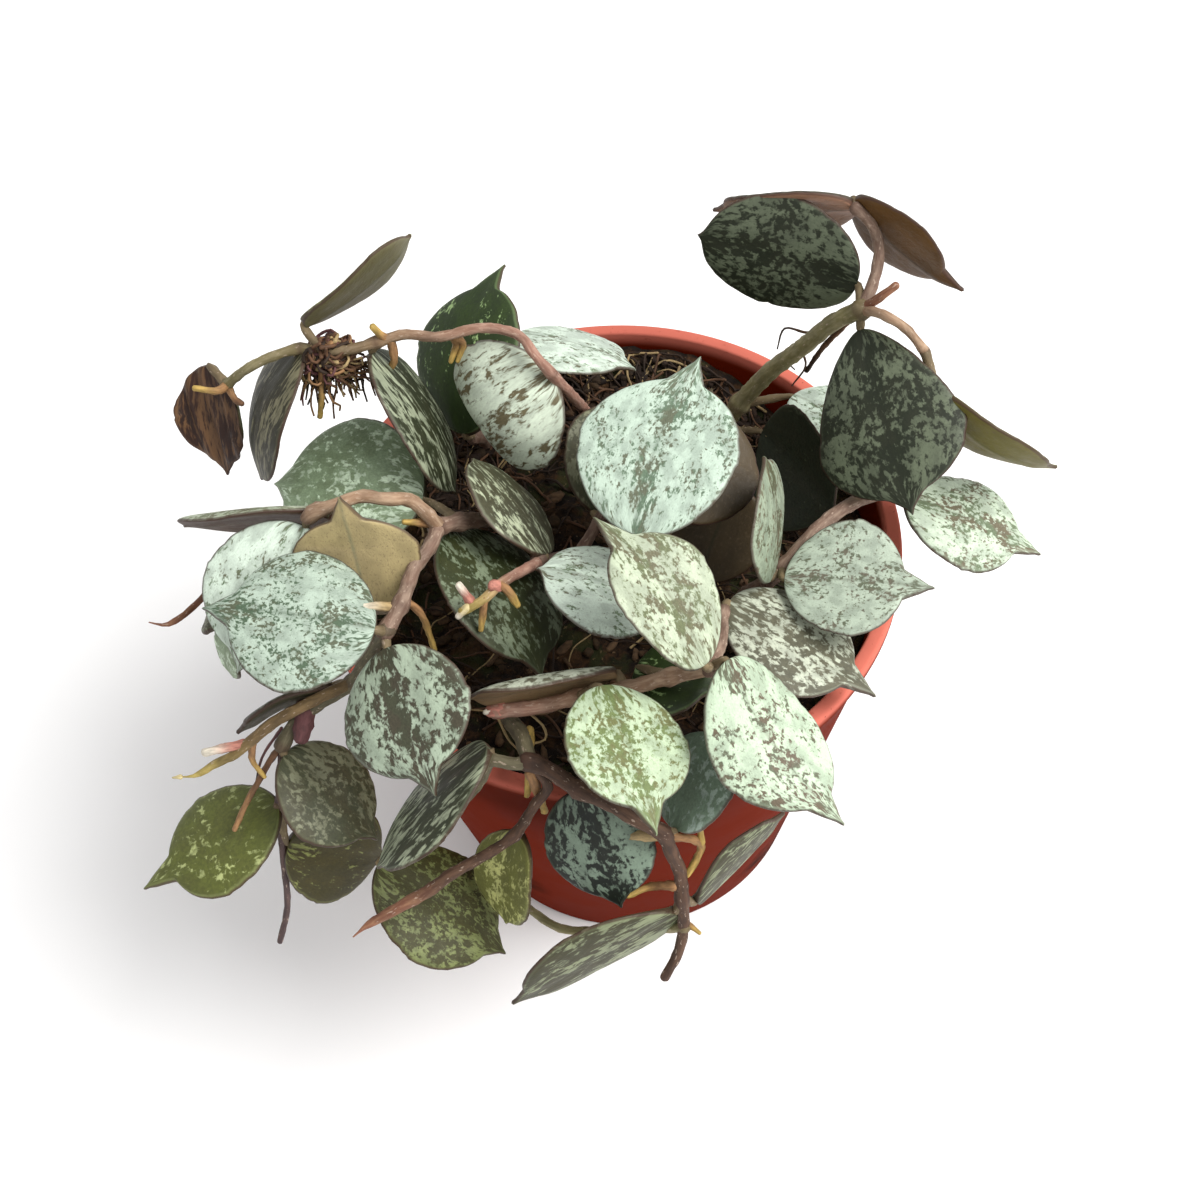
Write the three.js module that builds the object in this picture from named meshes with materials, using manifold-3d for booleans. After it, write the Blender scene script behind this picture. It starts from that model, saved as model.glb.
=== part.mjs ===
// Hoya curtisii, a trailing wax plant with silver spade-shaped leaves, in a plastic nursery pot.
// Millimetres, +Z up, origin under the middle of the pot on the surface that it stands on.

import * as THREE from 'three';
import { mergeVertices } from 'three/addons/utils/BufferGeometryUtils.js';
import Module from 'manifold-3d';

const wasm = await Module();
wasm.setup();

// Driving dimensions of the pot
const POT = {
  height: 74,
  rimRadius: 42.5,
  baseRadius: 30,
  wall: 1.2,
  floor: 2,
  lipHeight: 3,
  lipOverhang: 1,
  edgeRound: 0.6,
  sides: 48,
};
const DRAIN = { count: 6, radius: 3, circle: 20, sides: 12 };

// Potting mix: a filling with a lumpy top that rises at the back, clear of the wall
const MIX = {
  level: 66,
  backRise: 5.5,
  riseFrom: 25,
  riseTo: 37,
  gap: 0.4,
  rings: [0, 11, 21, 30, 36],
  lump: 0.8,
  stemClearance: 0.45,
};

// Leaf blade: a broad outline that ends in a short narrow point. The stations are shares of the
// way from the base to the widest place and from there to the start of the point.
const BLADE = {
  thickness: 1.4,
  marginThickness: 0.9,
  endHalfWidth: 0.55,
  hookStart: 0.72,
  bodyRoundness: 1.9,
  pointWidth: 0.22,
  pointCurve: 1.4,
  baseStations: [0, 0.18, 0.53],
  bodyStations: [0, 0.5, 0.86, 1],
  columns: [-1, -0.5, 0, 0.5, 1],
};
const LEAF = {
  width: 20,
  arch: 1,
  cup: -1,
  hook: 0,
  sway: 0,
  widest: 0.45,
  point: 0.12,
  foot: 1.8,
};

// Stems, leaf stalks and aerial roots
const STEM = { sides: 6, step: 4.5 };
const STALK = { sides: 4, step: 5, radius: 0.7, sink: 1.6 };
const ROOT = { sides: 4, step: 5 };
const SHORT_EDGE = 0.06;

// The vines. A stem's route starts 8 mm down in the mix or on the stem that it branches from.
// A leaf grows from point `at` of stem `on`. Its midrib runs from base to tip, turn rolls the blade
// about the midrib in degrees from face up. In millimetres, arch lifts the middle of the midrib and
// sway moves it sideways, cup lifts the margins, and hook lifts the point. As shares of the length,
// widest is where the blade is broadest and point is how much of it is the narrow point. A low foot
// makes the base wedge-shaped.
const VINES = {
  vine_back_right: {
    stems: {
      trunk: { radii: [1.5, 1.2], route: [[18, 25, 58], [19, 23, 68], [22, 23, 74], [26, 21, 83],
        [30, 18, 91], [34, 16, 98], [37, 14, 102]] },
      rising: { radii: [0.85, 0.75], route: [[37, 14, 102], [39, 17, 104], [40, 20, 107], [39, 22, 110],
        [37, 23, 112]] },
      arching: { radii: [0.75, 0.6], route: [[37, 14, 102], [39, 11, 104], [42, 9, 103], [45, 8, 99]] },
      stub: { radii: [0.7, 0.55], route: [[37, 14, 102], [39, 13, 105], [41, 13, 107]] },
    },
    leaves: [
      { on: 'trunk', at: 6, base: [37, 18, 103], tip: [16, 26, 107], turn: -80, width: 18, arch: -1,
        widest: 0.5, point: 0.04, foot: 2 },
      { on: 'rising', at: 4, base: [37, 24, 112], tip: [19, 34, 104], turn: 60, width: 14, arch: 0 },
      { on: 'rising', at: 4, base: [37, 25, 112], tip: [51, 15, 103], turn: -70, width: 16, arch: 0,
        cup: 0, sway: -1.5, point: 0.2 },
      { on: 'trunk', at: 6, base: [37, 13, 99], tip: [41, -11, 88], turn: 30, width: 21, arch: 1.5,
        cup: -1.5, widest: 0.58, point: 0.1, foot: 1.35 },
      { on: 'arching', at: 3, base: [46, 2, 97], tip: [63, -3, 85], turn: -60, width: 14, arch: -2,
        cup: 0 },
      { on: 'trunk', at: 1, base: [25, 17, 74], tip: [33, 0, 76], turn: 65, arch: -1, cup: 4,
        point: 0.06 },
      { on: 'trunk', at: 2, base: [30, 21, 77], tip: [40, 9, 78], turn: 0, width: 12, cup: 0 },
    ],
    roots: [
      { radii: [0.5, 0.35], route: [[36, 16, 98], [33, 17, 92], [31, 18, 86]] },
    ],
  },
  vine_right: {
    stems: {
      trunk: { radii: [1.3, 0.9], route: [[18, -6, 58], [19, -8, 67], [21, -11, 74], [23, -14, 82],
        [30, -8, 84], [35, -5, 84], [40, -3, 83]] },
    },
    leaves: [
      { on: 'trunk', at: 6, base: [42, -4, 82], tip: [61, -10, 74], turn: 5, width: 15, point: 0.2 },
      { on: 'trunk', at: 3, base: [23, -17, 84], tip: [42, -22, 86], turn: 10, width: 17, arch: 0.5,
        cup: 1.5, point: 0.2 },
      { on: 'trunk', at: 3, base: [21, -16, 83], tip: [21, -7, 98], turn: 70, width: 17, point: 0.06 },
    ],
    roots: [],
  },
  vine_right_front: {
    stems: {
      trunk: { radii: [1.2, 1], route: [[12, -13, 58], [11, -15, 68], [11, -24, 78], [11, -33, 89]] },
      cutBack: { radii: [1, 1], route: [[11, -33, 89], [6, -32, 86], [0, -32, 84], [-6, -32, 83],
        [-12, -33, 83], [-17, -33, 83]] },
      sideShoot: { radii: [0.9, 0.75], route: [[11, -33, 89], [13, -28, 87], [14, -22, 85]] },
    },
    leaves: [
      { on: 'sideShoot', at: 2, base: [15, -20, 84], tip: [33, -33, 78], turn: -10, width: 17, point: 0.2 },
      { on: 'trunk', at: 3, base: [13, -34, 92], tip: [25, -54, 84], turn: -10, width: 15.5,
        arch: 1.5, cup: -1.5, sway: 2.6, point: 0.16 },
      { on: 'trunk', at: 3, base: [10, -35, 93], tip: [-2, -19, 104], turn: 15, width: 15,
        arch: 2.5, cup: 1, point: 0.2 },
      { on: 'trunk', at: 2, base: [6, -21, 85], tip: [-10, -16, 90], turn: 15, width: 17, point: 0.06 },
      { on: 'cutBack', at: 2, base: [-1, -30, 85], tip: [-20, -33, 87], turn: 75, width: 12, arch: 0.5,
        cup: -2.5, point: 0.04 },
      { on: 'cutBack', at: 3, base: [-3, -35, 90], tip: [2, -55, 88], turn: -20, width: 16.5, cup: 0,
        point: 0.18 },
      { on: 'cutBack', at: 1, base: [2, -27, 81], tip: [12, -33, 83], turn: 0, width: 14, cup: 0 },
    ],
    roots: [],
  },
  vine_center: {
    stems: {
      trunk: { radii: [1.3, 1], route: [[9, 2, 58], [8, -1, 68], [7, -10, 84], [6, -16, 94]] },
    },
    leaves: [
      { on: 'trunk', at: 3, base: [3, -17, 97], tip: [14, 6, 104], turn: -5, width: 22, cup: 0,
        sway: -1, point: 0.17 },
      { on: 'trunk', at: 3, base: [9, -10, 90], tip: [16, 10, 93], turn: 205 },
      { on: 'trunk', at: 1, base: [12, -9, 74], tip: [19, 1, 85], turn: 200, width: 15, cup: 0 },
    ],
    roots: [],
  },
  vine_back_left: {
    stems: {
      trunk: { radii: [1.1, 0.9, 0.7, 0.75, 0.7], route: [[1, 27, 58], [0, 25, 68], [-2, 16, 84],
        [-4, 11, 94], [-6, 10, 99], [-8, 11, 102], [-10, 14, 103], [-15, 16, 103], [-21, 16, 102],
        [-26, 18, 101], [-30, 18, 100], [-34, 18, 99], [-38, 19, 98], [-41, 20, 98], [-45, 19, 98],
        [-49, 19, 96], [-53, 20, 92]] },
    },
    leaves: [
      { on: 'trunk', at: 4, base: [-6, 11, 98], tip: [-18, 12, 86], turn: -50, width: 20, arch: 4,
        cup: -2, hook: -3, point: 0.04 },
      { on: 'trunk', at: 10, base: [-31, 18, 98], tip: [-22, 6, 80], turn: -50, width: 19, arch: 2,
        point: 0.04 },
      { on: 'trunk', at: 13, base: [-41, 21, 97], tip: [-50, 11, 81], turn: 35, width: 19, arch: 3,
        widest: 0.55, point: 0.04 },
      { on: 'trunk', at: 12, base: [-40, 21, 102], tip: [-24, 30, 108], turn: -60, width: 16, arch: -1,
        cup: 0, widest: 0.65, point: 0.04 },
      { on: 'trunk', at: 16, base: [-56, 24, 92], tip: [-56, 15, 78], turn: 30, width: 12, arch: 0,
        cup: 2 },
    ],
    roots: [
      { radii: [0.7, 0.5], route: [[-28, 18, 100], [-29, 18, 101], [-30, 18, 103]] },
      { radii: [0.7, 0.4], route: [[-28, 18, 100], [-28, 17, 97], [-30, 17, 94]] },
      { radii: [0.7, 0.4], route: [[-19, 16, 102], [-19, 17, 99], [-20, 16, 97]] },
      { radii: [0.6, 0.4], route: [[-19, 16, 102], [-18, 17, 99], [-19, 16, 97]] },
      { radii: [0.7, 0.4], route: [[-53, 20, 92], [-54, 18, 93], [-57, 18, 94]] },
      { radii: [0.6, 0.4], route: [[-38, 19, 98], [-39, 16, 93], [-40, 15, 89]] },
    ],
    tangle: { center: [-37, 19, 98], reach: [6, 4, 11], count: 14, radii: [1.2, 0.6], seed: 7 },
  },
  vine_back: {
    stems: {
      trunk: { radii: [1.2, 1], route: [[-18, 27, 58], [-18, 25, 68], [-19, 18, 78]] },
      sideShoot: { radii: [0.9, 0.8], route: [[-18, 25, 68], [-15, 26, 76], [-12, 29, 82]] },
    },
    leaves: [
      { on: 'trunk', at: 2, base: [-20, 16, 81], tip: [-12, 39, 92], turn: -20, width: 18, arch: 4,
        sway: -1, point: 0.18 },
      { on: 'sideShoot', at: 2, base: [-11, 30, 86], tip: [6, 23, 84], turn: -30 },
    ],
    roots: [],
  },
  vine_left: {
    stems: {
      trunk: { radii: [1.2, 1.1], route: [[-13, 10, 58], [-14, 7, 68], [-15, 0, 80], [-17, -4, 86],
        [-20, -7, 90], [-23, -9, 92]] },
      upperArch: { radii: [1, 0.9, 0.9], route: [[-23, -9, 92], [-24, -9, 95], [-26, -8, 97],
        [-29, -9, 99], [-32, -9, 100], [-35, -10, 100], [-38, -10, 99], [-39, -10, 98]] },
      lowerArch: { radii: [1, 1], route: [[-23, -9, 92], [-24, -13, 93], [-26, -16, 93],
        [-27, -19, 93], [-28, -22, 93], [-30, -25, 92]] },
      overRim: { radii: [1, 0.9], route: [[-30, -25, 92], [-33, -25, 87], [-36, -26, 82],
        [-41, -27, 79], [-45, -28, 76], [-47, -30, 74]] },
      hanging: { radii: [0.55, 0.45], route: [[-47, -30, 74], [-48, -32, 70], [-49, -35, 66],
        [-50, -39, 58], [-51, -43, 50], [-53, -46, 45]] },
      youngShoot: { radii: [0.8, 0.8, 0.45], route: [[-36, -26, 82], [-42, -28, 81], [-47, -30, 80],
        [-50, -31, 78], [-53, -32, 76], [-56, -32, 74], [-59, -33, 73], [-61, -33, 73]] },
      tendril: { radii: [0.55, 0.45], route: [[-41, -27, 79], [-44, -24, 79], [-49, -18, 79],
        [-54, -11, 79], [-57, -7, 79], [-59, -8, 78], [-61, -11, 79], [-63, -12, 79],
        [-65, -12, 80]] },
    },
    leaves: [
      { on: 'trunk', at: 4, base: [-26, 3, 83], tip: [-49, 13, 77], turn: -20, width: 22, arch: 2.5 },
      { on: 'upperArch', at: 7, base: [-40, -10, 96], tip: [-51, -24, 84], turn: -20, width: 19,
        arch: 1.5 },
      { on: 'lowerArch', at: 5, base: [-31, -26, 94], tip: [-53, -21, 95], turn: -10, width: 19.5,
        arch: 1.5, cup: -1.5, widest: 0.42, point: 0.18 },
      { on: 'lowerArch', at: 4, base: [-33, -18, 87], tip: [-34, -12, 104], turn: 165, width: 17,
        cup: 0, point: 0.22 },
      { on: 'upperArch', at: 6, base: [-37, -8, 96], tip: [-59, -1, 87], turn: 60, width: 16, arch: 0.5,
        cup: -1.5, point: 0.04 },
      { on: 'lowerArch', at: 5, base: [-30, -27, 91], tip: [-25, -45, 84], turn: 30, width: 19, cup: -0.5,
        point: 0.16 },
      { on: 'overRim', at: 5, base: [-47, -31, 73], tip: [-36, -40, 63], turn: -20, width: 16 },
      { on: 'hanging', at: 2, base: [-49, -38, 60], tip: [-37, -37, 51], turn: 55, width: 16, cup: 0,
        point: 0.08 },
      { on: 'hanging', at: 2, base: [-49, -35, 66], tip: [-70, -41, 56], turn: -5, width: 15.5,
        point: 0.24 },
      { on: 'overRim', at: 2, base: [-39, -25, 80], tip: [-53, -28, 75], turn: 60, width: 10, cup: 0 },
      { on: 'trunk', at: 5, base: [-21, -6, 87], tip: [-11, -27, 80], turn: -35, arch: 2.5 },
      { on: 'tendril', at: 3, base: [-54, -12, 77], tip: [-56, -14, 67], turn: 10, width: 7, cup: 0 },
      { on: 'tendril', at: 3, base: [-55, -11, 77], tip: [-59, -9, 73], turn: -10, width: 4, cup: 0 },
    ],
    roots: [
      { radii: [0.7, 0.4], route: [[-24, -9, 93], [-27, -10, 95]] },
      { radii: [0.7, 0.5], route: [[-29, -22, 93], [-31, -23, 95], [-33, -23, 95]] },
      { radii: [0.6, 0.4], route: [[-28, -20, 92], [-26, -20, 88], [-25, -22, 82]] },
      { radii: [0.6, 0.3], route: [[-50, -31, 78], [-51, -32, 74], [-50, -33, 71]] },
      { radii: [0.7, 0.6], route: [[-51, -31, 77], [-54, -32, 78], [-56, -33, 79]] },
      { radii: [0.5, 0.4], route: [[-47, -30, 74], [-49, -31, 72], [-51, -33, 70], [-53, -35, 68],
        [-55, -38, 66]] },
      { radii: [1.5, 1.2], route: [[-43, -27, 78], [-44, -30, 76]] },
    ],
  },
  vine_center_left: {
    stems: {
      trunk: { radii: [1.3, 1], route: [[-8, 1, 58], [-8, -2, 68], [-7, -7, 79], [-10, -12, 86]] },
      twig: { radii: [0.8, 0.6], route: [[-10, -12, 86], [-12, -16, 90], [-15, -20, 93],
        [-17, -22, 93], [-20, -23, 92]] },
      sideShoot: { radii: [1, 0.8], route: [[-8, -2, 68], [-4, -3, 76], [-1, -1, 80]] },
    },
    leaves: [
      { on: 'trunk', at: 3, base: [-9, -11, 86], tip: [-18, 2, 92], turn: 50, width: 18, point: 0.04 },
      { on: 'sideShoot', at: 2, base: [-2, 1, 79], tip: [5, 17, 84], turn: 40, width: 17, cup: 0 },
    ],
    roots: [
      { radii: [0.7, 0.5], route: [[-15, -20, 93], [-14, -21, 93], [-13, -22, 91]] },
      { radii: [0.7, 0.5], route: [[-19, -22, 93], [-20, -21, 95]] },
      { radii: [0.6, 0.4], route: [[-17, -22, 93], [-18, -24, 89]] },
    ],
  },
  vine_front: {
    stems: {
      trunk: { radii: [1.2, 1.1], route: [[-18, -19, 58], [-17, -22, 68], [-16, -30, 76],
        [-14, -36, 81], [-13, -41, 83]] },
      leftBranch: { radii: [0.9, 0.75], route: [[-13, -41, 83], [-15, -41, 83], [-18, -40, 83]] },
      leftTail: { radii: [0.7, 0.6], route: [[-18, -40, 83], [-20, -40, 77], [-24, -40, 70],
        [-30, -42, 64], [-35, -42, 61]] },
      overRim: { radii: [1.1, 1, 0.9, 0.65], route: [[-13, -41, 83], [-11, -42, 83], [-7, -45, 82],
        [-3, -47, 81], [0, -49, 80], [3, -50, 78], [4, -51, 74], [5, -52, 70], [5, -54, 66],
        [5, -56, 61], [4, -58, 57], [2, -60, 54]] },
      redShoot: { radii: [0.7, 0.7, 0.75, 0.9, 0.5], route: [[-13, -41, 83], [-11, -43, 80],
        [-13, -44, 77], [-16, -46, 73], [-19, -47, 71], [-22, -48, 70], [-25, -49, 69],
        [-28, -50, 67], [-31, -51, 66], [-34, -52, 65], [-37, -53, 64], [-39, -54, 63]] },
      lowTwig: { radii: [0.7, 0.6], route: [[5, -56, 61], [0, -53, 54], [-6, -51, 50], [-12, -50, 50],
        [-17, -46, 50]] },
    },
    leaves: [
      { on: 'leftBranch', at: 2, base: [-18, -39, 84], tip: [-34, -49, 73], turn: 40, width: 18,
        point: 0.06 },
      { on: 'leftTail', at: 4, base: [-36, -43, 61], tip: [-20, -53, 50], turn: -10, width: 17.5 },
      { on: 'redShoot', at: 3, base: [-16, -43, 67], tip: [-19, -51, 56], turn: 35, width: 13, cup: 1,
        point: 0.06 },
      { on: 'overRim', at: 2, base: [-7, -43, 78], tip: [-3, -54, 65], turn: 35, width: 15.5 },
      { on: 'overRim', at: 5, base: [5, -49, 76], tip: [12, -38, 83], turn: -30, width: 14, cup: 0 },
      { on: 'overRim', at: 8, base: [4, -55, 64], tip: [-19, -61, 52], turn: -95, width: 18, arch: 0 },
      { on: 'overRim', at: 8, base: [7, -53, 62], tip: [20, -43, 66], turn: 100, width: 18, arch: 0,
        cup: -1 },
    ],
    roots: [
      { radii: [0.8, 0.5], route: [[-13, -42, 82], [-12, -43, 73]] },
      { radii: [0.7, 0.4], route: [[-13, -41, 82], [-14, -42, 76]] },
      { radii: [0.6, 0.5], route: [[3, -50, 77], [7, -50, 75], [8, -50, 73], [7, -51, 70],
        [6, -52, 69]] },
      { radii: [0.8, 0.7], route: [[3, -50, 77], [-2, -48, 74]] },
      { radii: [0.7, 0.4], route: [[4, -53, 68], [1, -52, 66], [-2, -53, 66]] },
      { radii: [0.5, 0.3], route: [[5, -55, 61], [7, -57, 61]] },
      { radii: [0.6, 0.5], route: [[-13, -34, 79], [-13, -35, 77]] },
    ],
  },
};

// Colours, roughness and metalness as in the photograph
const FINISH = {
  pot: { color: 0xc8603f, roughness: 0.55, metalness: 0 },
  mix: { color: 0x35261b, roughness: 0.95, metalness: 0 },
  vine: { color: 0x9fb3a2, roughness: 0.5, metalness: 0 },
};

const UP = new THREE.Vector3(0, 0, 1);
const vector = (point) => new THREE.Vector3(...point);

// Joins closed rings of points, each with the same count, into one closed skin with flat ends.
// The two halves of a ring are split on mirrored diagonals, so both faces of a blade bend alike.
function loft(rings) {
  const size = rings[0].length;
  const triangles = [];
  for (let row = 0; row < rings.length - 1; row += 1) {
    for (let k = 0; k < size; k += 1) {
      const next = (k + 1) % size;
      const a = row * size + k;
      const b = row * size + next;
      const c = (row + 1) * size + next;
      const d = (row + 1) * size + k;
      if (k < size / 2) {
        triangles.push(a, b, c, a, c, d);
      } else {
        triangles.push(a, b, d, b, c, d);
      }
    }
  }
  const last = (rings.length - 1) * size;
  for (let k = 1; k < size - 1; k += 1) {
    triangles.push(0, k + 1, k, last, last + k, last + k + 1);
  }
  const geometry = new THREE.BufferGeometry().setFromPoints(rings.flat());
  geometry.setIndex(triangles);
  return geometry;
}

// A closed three.js geometry becomes a solid once its shared vertices are merged.
function toSolid(geometry) {
  const bare = new THREE.BufferGeometry();
  bare.setAttribute('position', geometry.getAttribute('position').clone());
  bare.setIndex(geometry.getIndex());
  const merged = mergeVertices(bare, 1e-4);
  const index = merged.getIndex().array;
  const triVerts = [];
  for (let i = 0; i < index.length; i += 3) {
    const [a, b, c] = [index[i], index[i + 1], index[i + 2]];
    if (a !== b && b !== c && a !== c) {
      triVerts.push(a, b, c);
    }
  }
  const vertProperties = new Float32Array(merged.getAttribute('position').array);
  return new wasm.Manifold(new wasm.Mesh({
    numProp: 3,
    vertProperties,
    triVerts: new Uint32Array(triVerts),
  }));
}

function toGeometry(solid) {
  const mesh = solid.getMesh();
  const geometry = new THREE.BufferGeometry();
  geometry.setAttribute('position', new THREE.BufferAttribute(new Float32Array(mesh.vertProperties), 3));
  geometry.setIndex(new THREE.BufferAttribute(new Uint32Array(mesh.triVerts), 1));
  geometry.computeVertexNormals();
  return geometry;
}

const join = (solids) => solids.reduce((sum, solid) => sum.add(solid));

// Merges the short edges along the seams and keeps the outer body without its pinholes
function tidied(solid) {
  const bodies = solid.asOriginal().simplify(SHORT_EDGE).decompose();
  return bodies.reduce((largest, body) => (body.volume() > largest.volume() ? body : largest));
}

// Linear reading of a short list of values along 0 to 1
function along(values, t) {
  const place = t * (values.length - 1);
  const low = Math.min(Math.floor(place), values.length - 2);
  return THREE.MathUtils.lerp(values[low], values[low + 1], place - low);
}

// A round tapering shoot along a smooth curve through its route
function shoot(route, radii, sides, step) {
  const curve = new THREE.CatmullRomCurve3(route.map(vector), false, 'centripetal');
  const steps = Math.max(1, Math.round(curve.getLength() / step));
  const frames = curve.computeFrenetFrames(steps, false);
  const rings = [];
  for (let i = 0; i <= steps; i += 1) {
    const middle = curve.getPointAt(i / steps);
    const radius = along(radii, i / steps);
    const ring = [];
    for (let k = 0; k < sides; k += 1) {
      const angle = (2 * Math.PI * k) / sides;
      ring.push(middle.clone()
        .addScaledVector(frames.normals[i], radius * Math.cos(angle))
        .addScaledVector(frames.binormals[i], radius * Math.sin(angle)));
    }
    rings.push(ring);
  }
  return toSolid(loft(rings));
}

// Half width of a leaf's outline at fraction s of the midrib, about 1 at its widest
function outline({ widest, point, foot }, s) {
  if (s < widest) {
    return (1 - ((widest - s) / widest) ** foot) ** (1 / foot);
  }
  const toEnd = Math.min(1, (s - widest) / (1 - point - widest));
  const body = (1 - toEnd ** BLADE.bodyRoundness) ** (1 / BLADE.bodyRoundness);
  const tip = BLADE.pointWidth * Math.min(1, (1 - s) / point) ** BLADE.pointCurve;
  return Math.hypot(body, tip);
}

// Midrib direction, face normal and side direction of a leaf
function bladeFrame(leaf) {
  const base = vector(leaf.base);
  const span = vector(leaf.tip).sub(base);
  const length = span.length();
  const forward = span.normalize();
  const faceUp = UP.clone().addScaledVector(forward, -UP.dot(forward)).normalize();
  const normal = faceUp.applyAxisAngle(forward, THREE.MathUtils.degToRad(leaf.turn));
  const side = new THREE.Vector3().crossVectors(forward, normal);
  return { base, length, forward, normal, side };
}

// One leaf blade: arched along the midrib, bent along the margins, thick in the middle
function blade(leaf) {
  const { base, length, forward, normal, side } = bladeFrame(leaf);
  const { width, widest } = leaf;
  const halfRange = width / 2 - BLADE.endHalfWidth;
  const point = (s, u, face) => {
    const half = outline(leaf, s);
    const hook = Math.max(0, (s - BLADE.hookStart) / (1 - BLADE.hookStart)) ** 2;
    const rise = leaf.arch * 4 * s * (1 - s) + leaf.cup * (u * half) ** 2 + leaf.hook * hook;
    const thickness = THREE.MathUtils.lerp(BLADE.thickness, BLADE.marginThickness, u * u);
    return base.clone()
      .addScaledVector(forward, length * s)
      .addScaledVector(side, leaf.sway * 4 * s * (1 - s) + u * (BLADE.endHalfWidth + halfRange * half))
      .addScaledVector(normal, rise + (face * thickness) / 2);
  };
  const stations = [
    ...BLADE.baseStations.map((share) => share * widest),
    ...BLADE.bodyStations.map((share) => widest + share * (1 - leaf.point - widest)),
    1,
  ];
  const rings = stations.map((s) => [
    ...BLADE.columns.map((u) => point(s, u, 1)),
    ...[...BLADE.columns].reverse().map((u) => point(s, u, -1)),
  ]);
  return toSolid(loft(rings));
}

// The short stalk from a stem's node to just inside the blade
function stalk(leaf, stems) {
  const node = stems[leaf.on].route[leaf.at];
  const { base, forward } = bladeFrame(leaf);
  const end = base.clone().addScaledVector(forward, STALK.sink);
  return shoot([node, leaf.base, end.toArray()], [STALK.radius, STALK.radius], STALK.sides, STALK.step);
}

// Repeatable draws between 0 and 1
function draws(seed) {
  let state = seed;
  return () => {
    state = (state * 16807) % 2147483647;
    return state / 2147483647;
  };
}

// A hanging clump of short dry roots that spread from one knot on the stem
function tangle({ center, reach, count, radii, seed }) {
  const draw = draws(seed);
  const roots = [];
  for (let i = 0; i < count; i += 1) {
    const turn = 2 * Math.PI * (i / count + 0.1 * draw());
    const spread = 0.35 + 0.65 * draw();
    const drop = reach[2] * (0.35 + 0.65 * draw());
    const end = [
      center[0] + reach[0] * spread * Math.cos(turn),
      center[1] + reach[1] * spread * Math.sin(turn),
      center[2] - drop,
    ];
    const bend = [
      center[0] + 0.7 * (end[0] - center[0]),
      center[1] + 0.7 * (end[1] - center[1]),
      center[2] - 0.4 * drop,
    ];
    roots.push(shoot([center, bend, end], radii, ROOT.sides, ROOT.step));
  }
  return join(roots);
}

function vine({ stems, leaves, roots, tangle: clump }) {
  const pieces = Object.values(stems).map(({ route, radii }) => shoot(route, radii, STEM.sides, STEM.step));
  leaves.map((given) => ({ ...LEAF, ...given })).forEach((leaf) => {
    pieces.push(blade(leaf), stalk(leaf, stems));
  });
  roots.forEach(({ route, radii }) => pieces.push(shoot(route, radii, ROOT.sides, ROOT.step)));
  if (clump) {
    pieces.push(tangle(clump));
  }
  return tidied(join(pieces));
}

// Turns an outline of [radius, height] pairs about the pot's axis
function turned(profile, sides) {
  const points = profile.map(([radius, height]) => new THREE.Vector2(radius, height));
  const geometry = new THREE.LatheGeometry(points, sides);
  geometry.rotateX(Math.PI / 2);
  return geometry;
}

const innerTop = POT.rimRadius - POT.lipOverhang - POT.wall;
const innerBase = POT.baseRadius - POT.wall;
const innerRadius = (height) => THREE.MathUtils.mapLinear(height, POT.floor, POT.height, innerBase, innerTop);

function pot() {
  const { height, rimRadius, baseRadius, floor, lipHeight, lipOverhang, edgeRound } = POT;
  const shell = toSolid(turned([
    [0, 0],
    [baseRadius - edgeRound, 0],
    [baseRadius, edgeRound],
    [rimRadius - lipOverhang, height - lipHeight],
    [rimRadius, height - lipHeight + edgeRound],
    [rimRadius, height - edgeRound],
    [rimRadius - edgeRound, height],
    [innerTop, height],
    [innerBase, floor],
    [0, floor],
  ], POT.sides));
  const drains = [];
  for (let i = 0; i < DRAIN.count; i += 1) {
    const angle = (2 * Math.PI * i) / DRAIN.count;
    const hole = new THREE.CylinderGeometry(DRAIN.radius, DRAIN.radius, 4 * floor, DRAIN.sides);
    hole.rotateX(Math.PI / 2);
    hole.translate(DRAIN.circle * Math.cos(angle), DRAIN.circle * Math.sin(angle), 0);
    drains.push(toSolid(hole));
  }
  return shell.subtract(join(drains));
}

// Height of the mix, whose lumps die out towards the wall
function mixHeight(x, y) {
  const fade = Math.max(0, 1 - (Math.hypot(x, y) / innerTop) ** 4);
  const wave = Math.sin(0.31 * x + 1) * Math.cos(0.27 * y) + 0.6 * Math.sin(0.55 * y - 0.4 * x);
  const rise = MIX.backRise * THREE.MathUtils.smoothstep(y, MIX.riseFrom, MIX.riseTo);
  return MIX.level + rise + MIX.lump * fade * wave;
}

function pottingMix() {
  const bottom = POT.floor + MIX.gap;
  const filling = turned([
    [0, bottom],
    [innerRadius(bottom) - MIX.gap, bottom],
    [innerRadius(MIX.level) - MIX.gap, MIX.level],
    ...[...MIX.rings].reverse().map((radius) => [radius, MIX.level]),
  ], POT.sides);
  const place = filling.getAttribute('position');
  for (let i = 0; i < place.count; i += 1) {
    const point = new THREE.Vector3().fromBufferAttribute(place, i);
    if (point.z > MIX.level - 1) {
      const radius = Math.hypot(point.x, point.y);
      point.z = mixHeight(point.x, point.y);
      const spread = radius > MIX.rings.at(-1) + 0.1 ? (innerRadius(point.z) - MIX.gap) / radius : 1;
      place.setXYZ(i, point.x * spread, point.y * spread, point.z);
    }
  }
  const holes = Object.values(VINES).map(({ stems }) => {
    const { route, radii } = stems.trunk;
    const [foot, collar] = route.map(vector);
    const down = foot.clone().sub(collar).setLength(MIX.stemClearance);
    const entry = [foot.add(down).toArray(), ...route.slice(1, 3)];
    return shoot(entry, [radii[0] + MIX.stemClearance, radii[0] + MIX.stemClearance], STEM.sides, STEM.step);
  });
  return toSolid(filling).subtract(join(holes));
}

function named(name, solid, finish) {
  const material = new THREE.MeshStandardMaterial(finish);
  const mesh = new THREE.Mesh(toGeometry(solid), material);
  mesh.name = name;
  return mesh;
}

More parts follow.
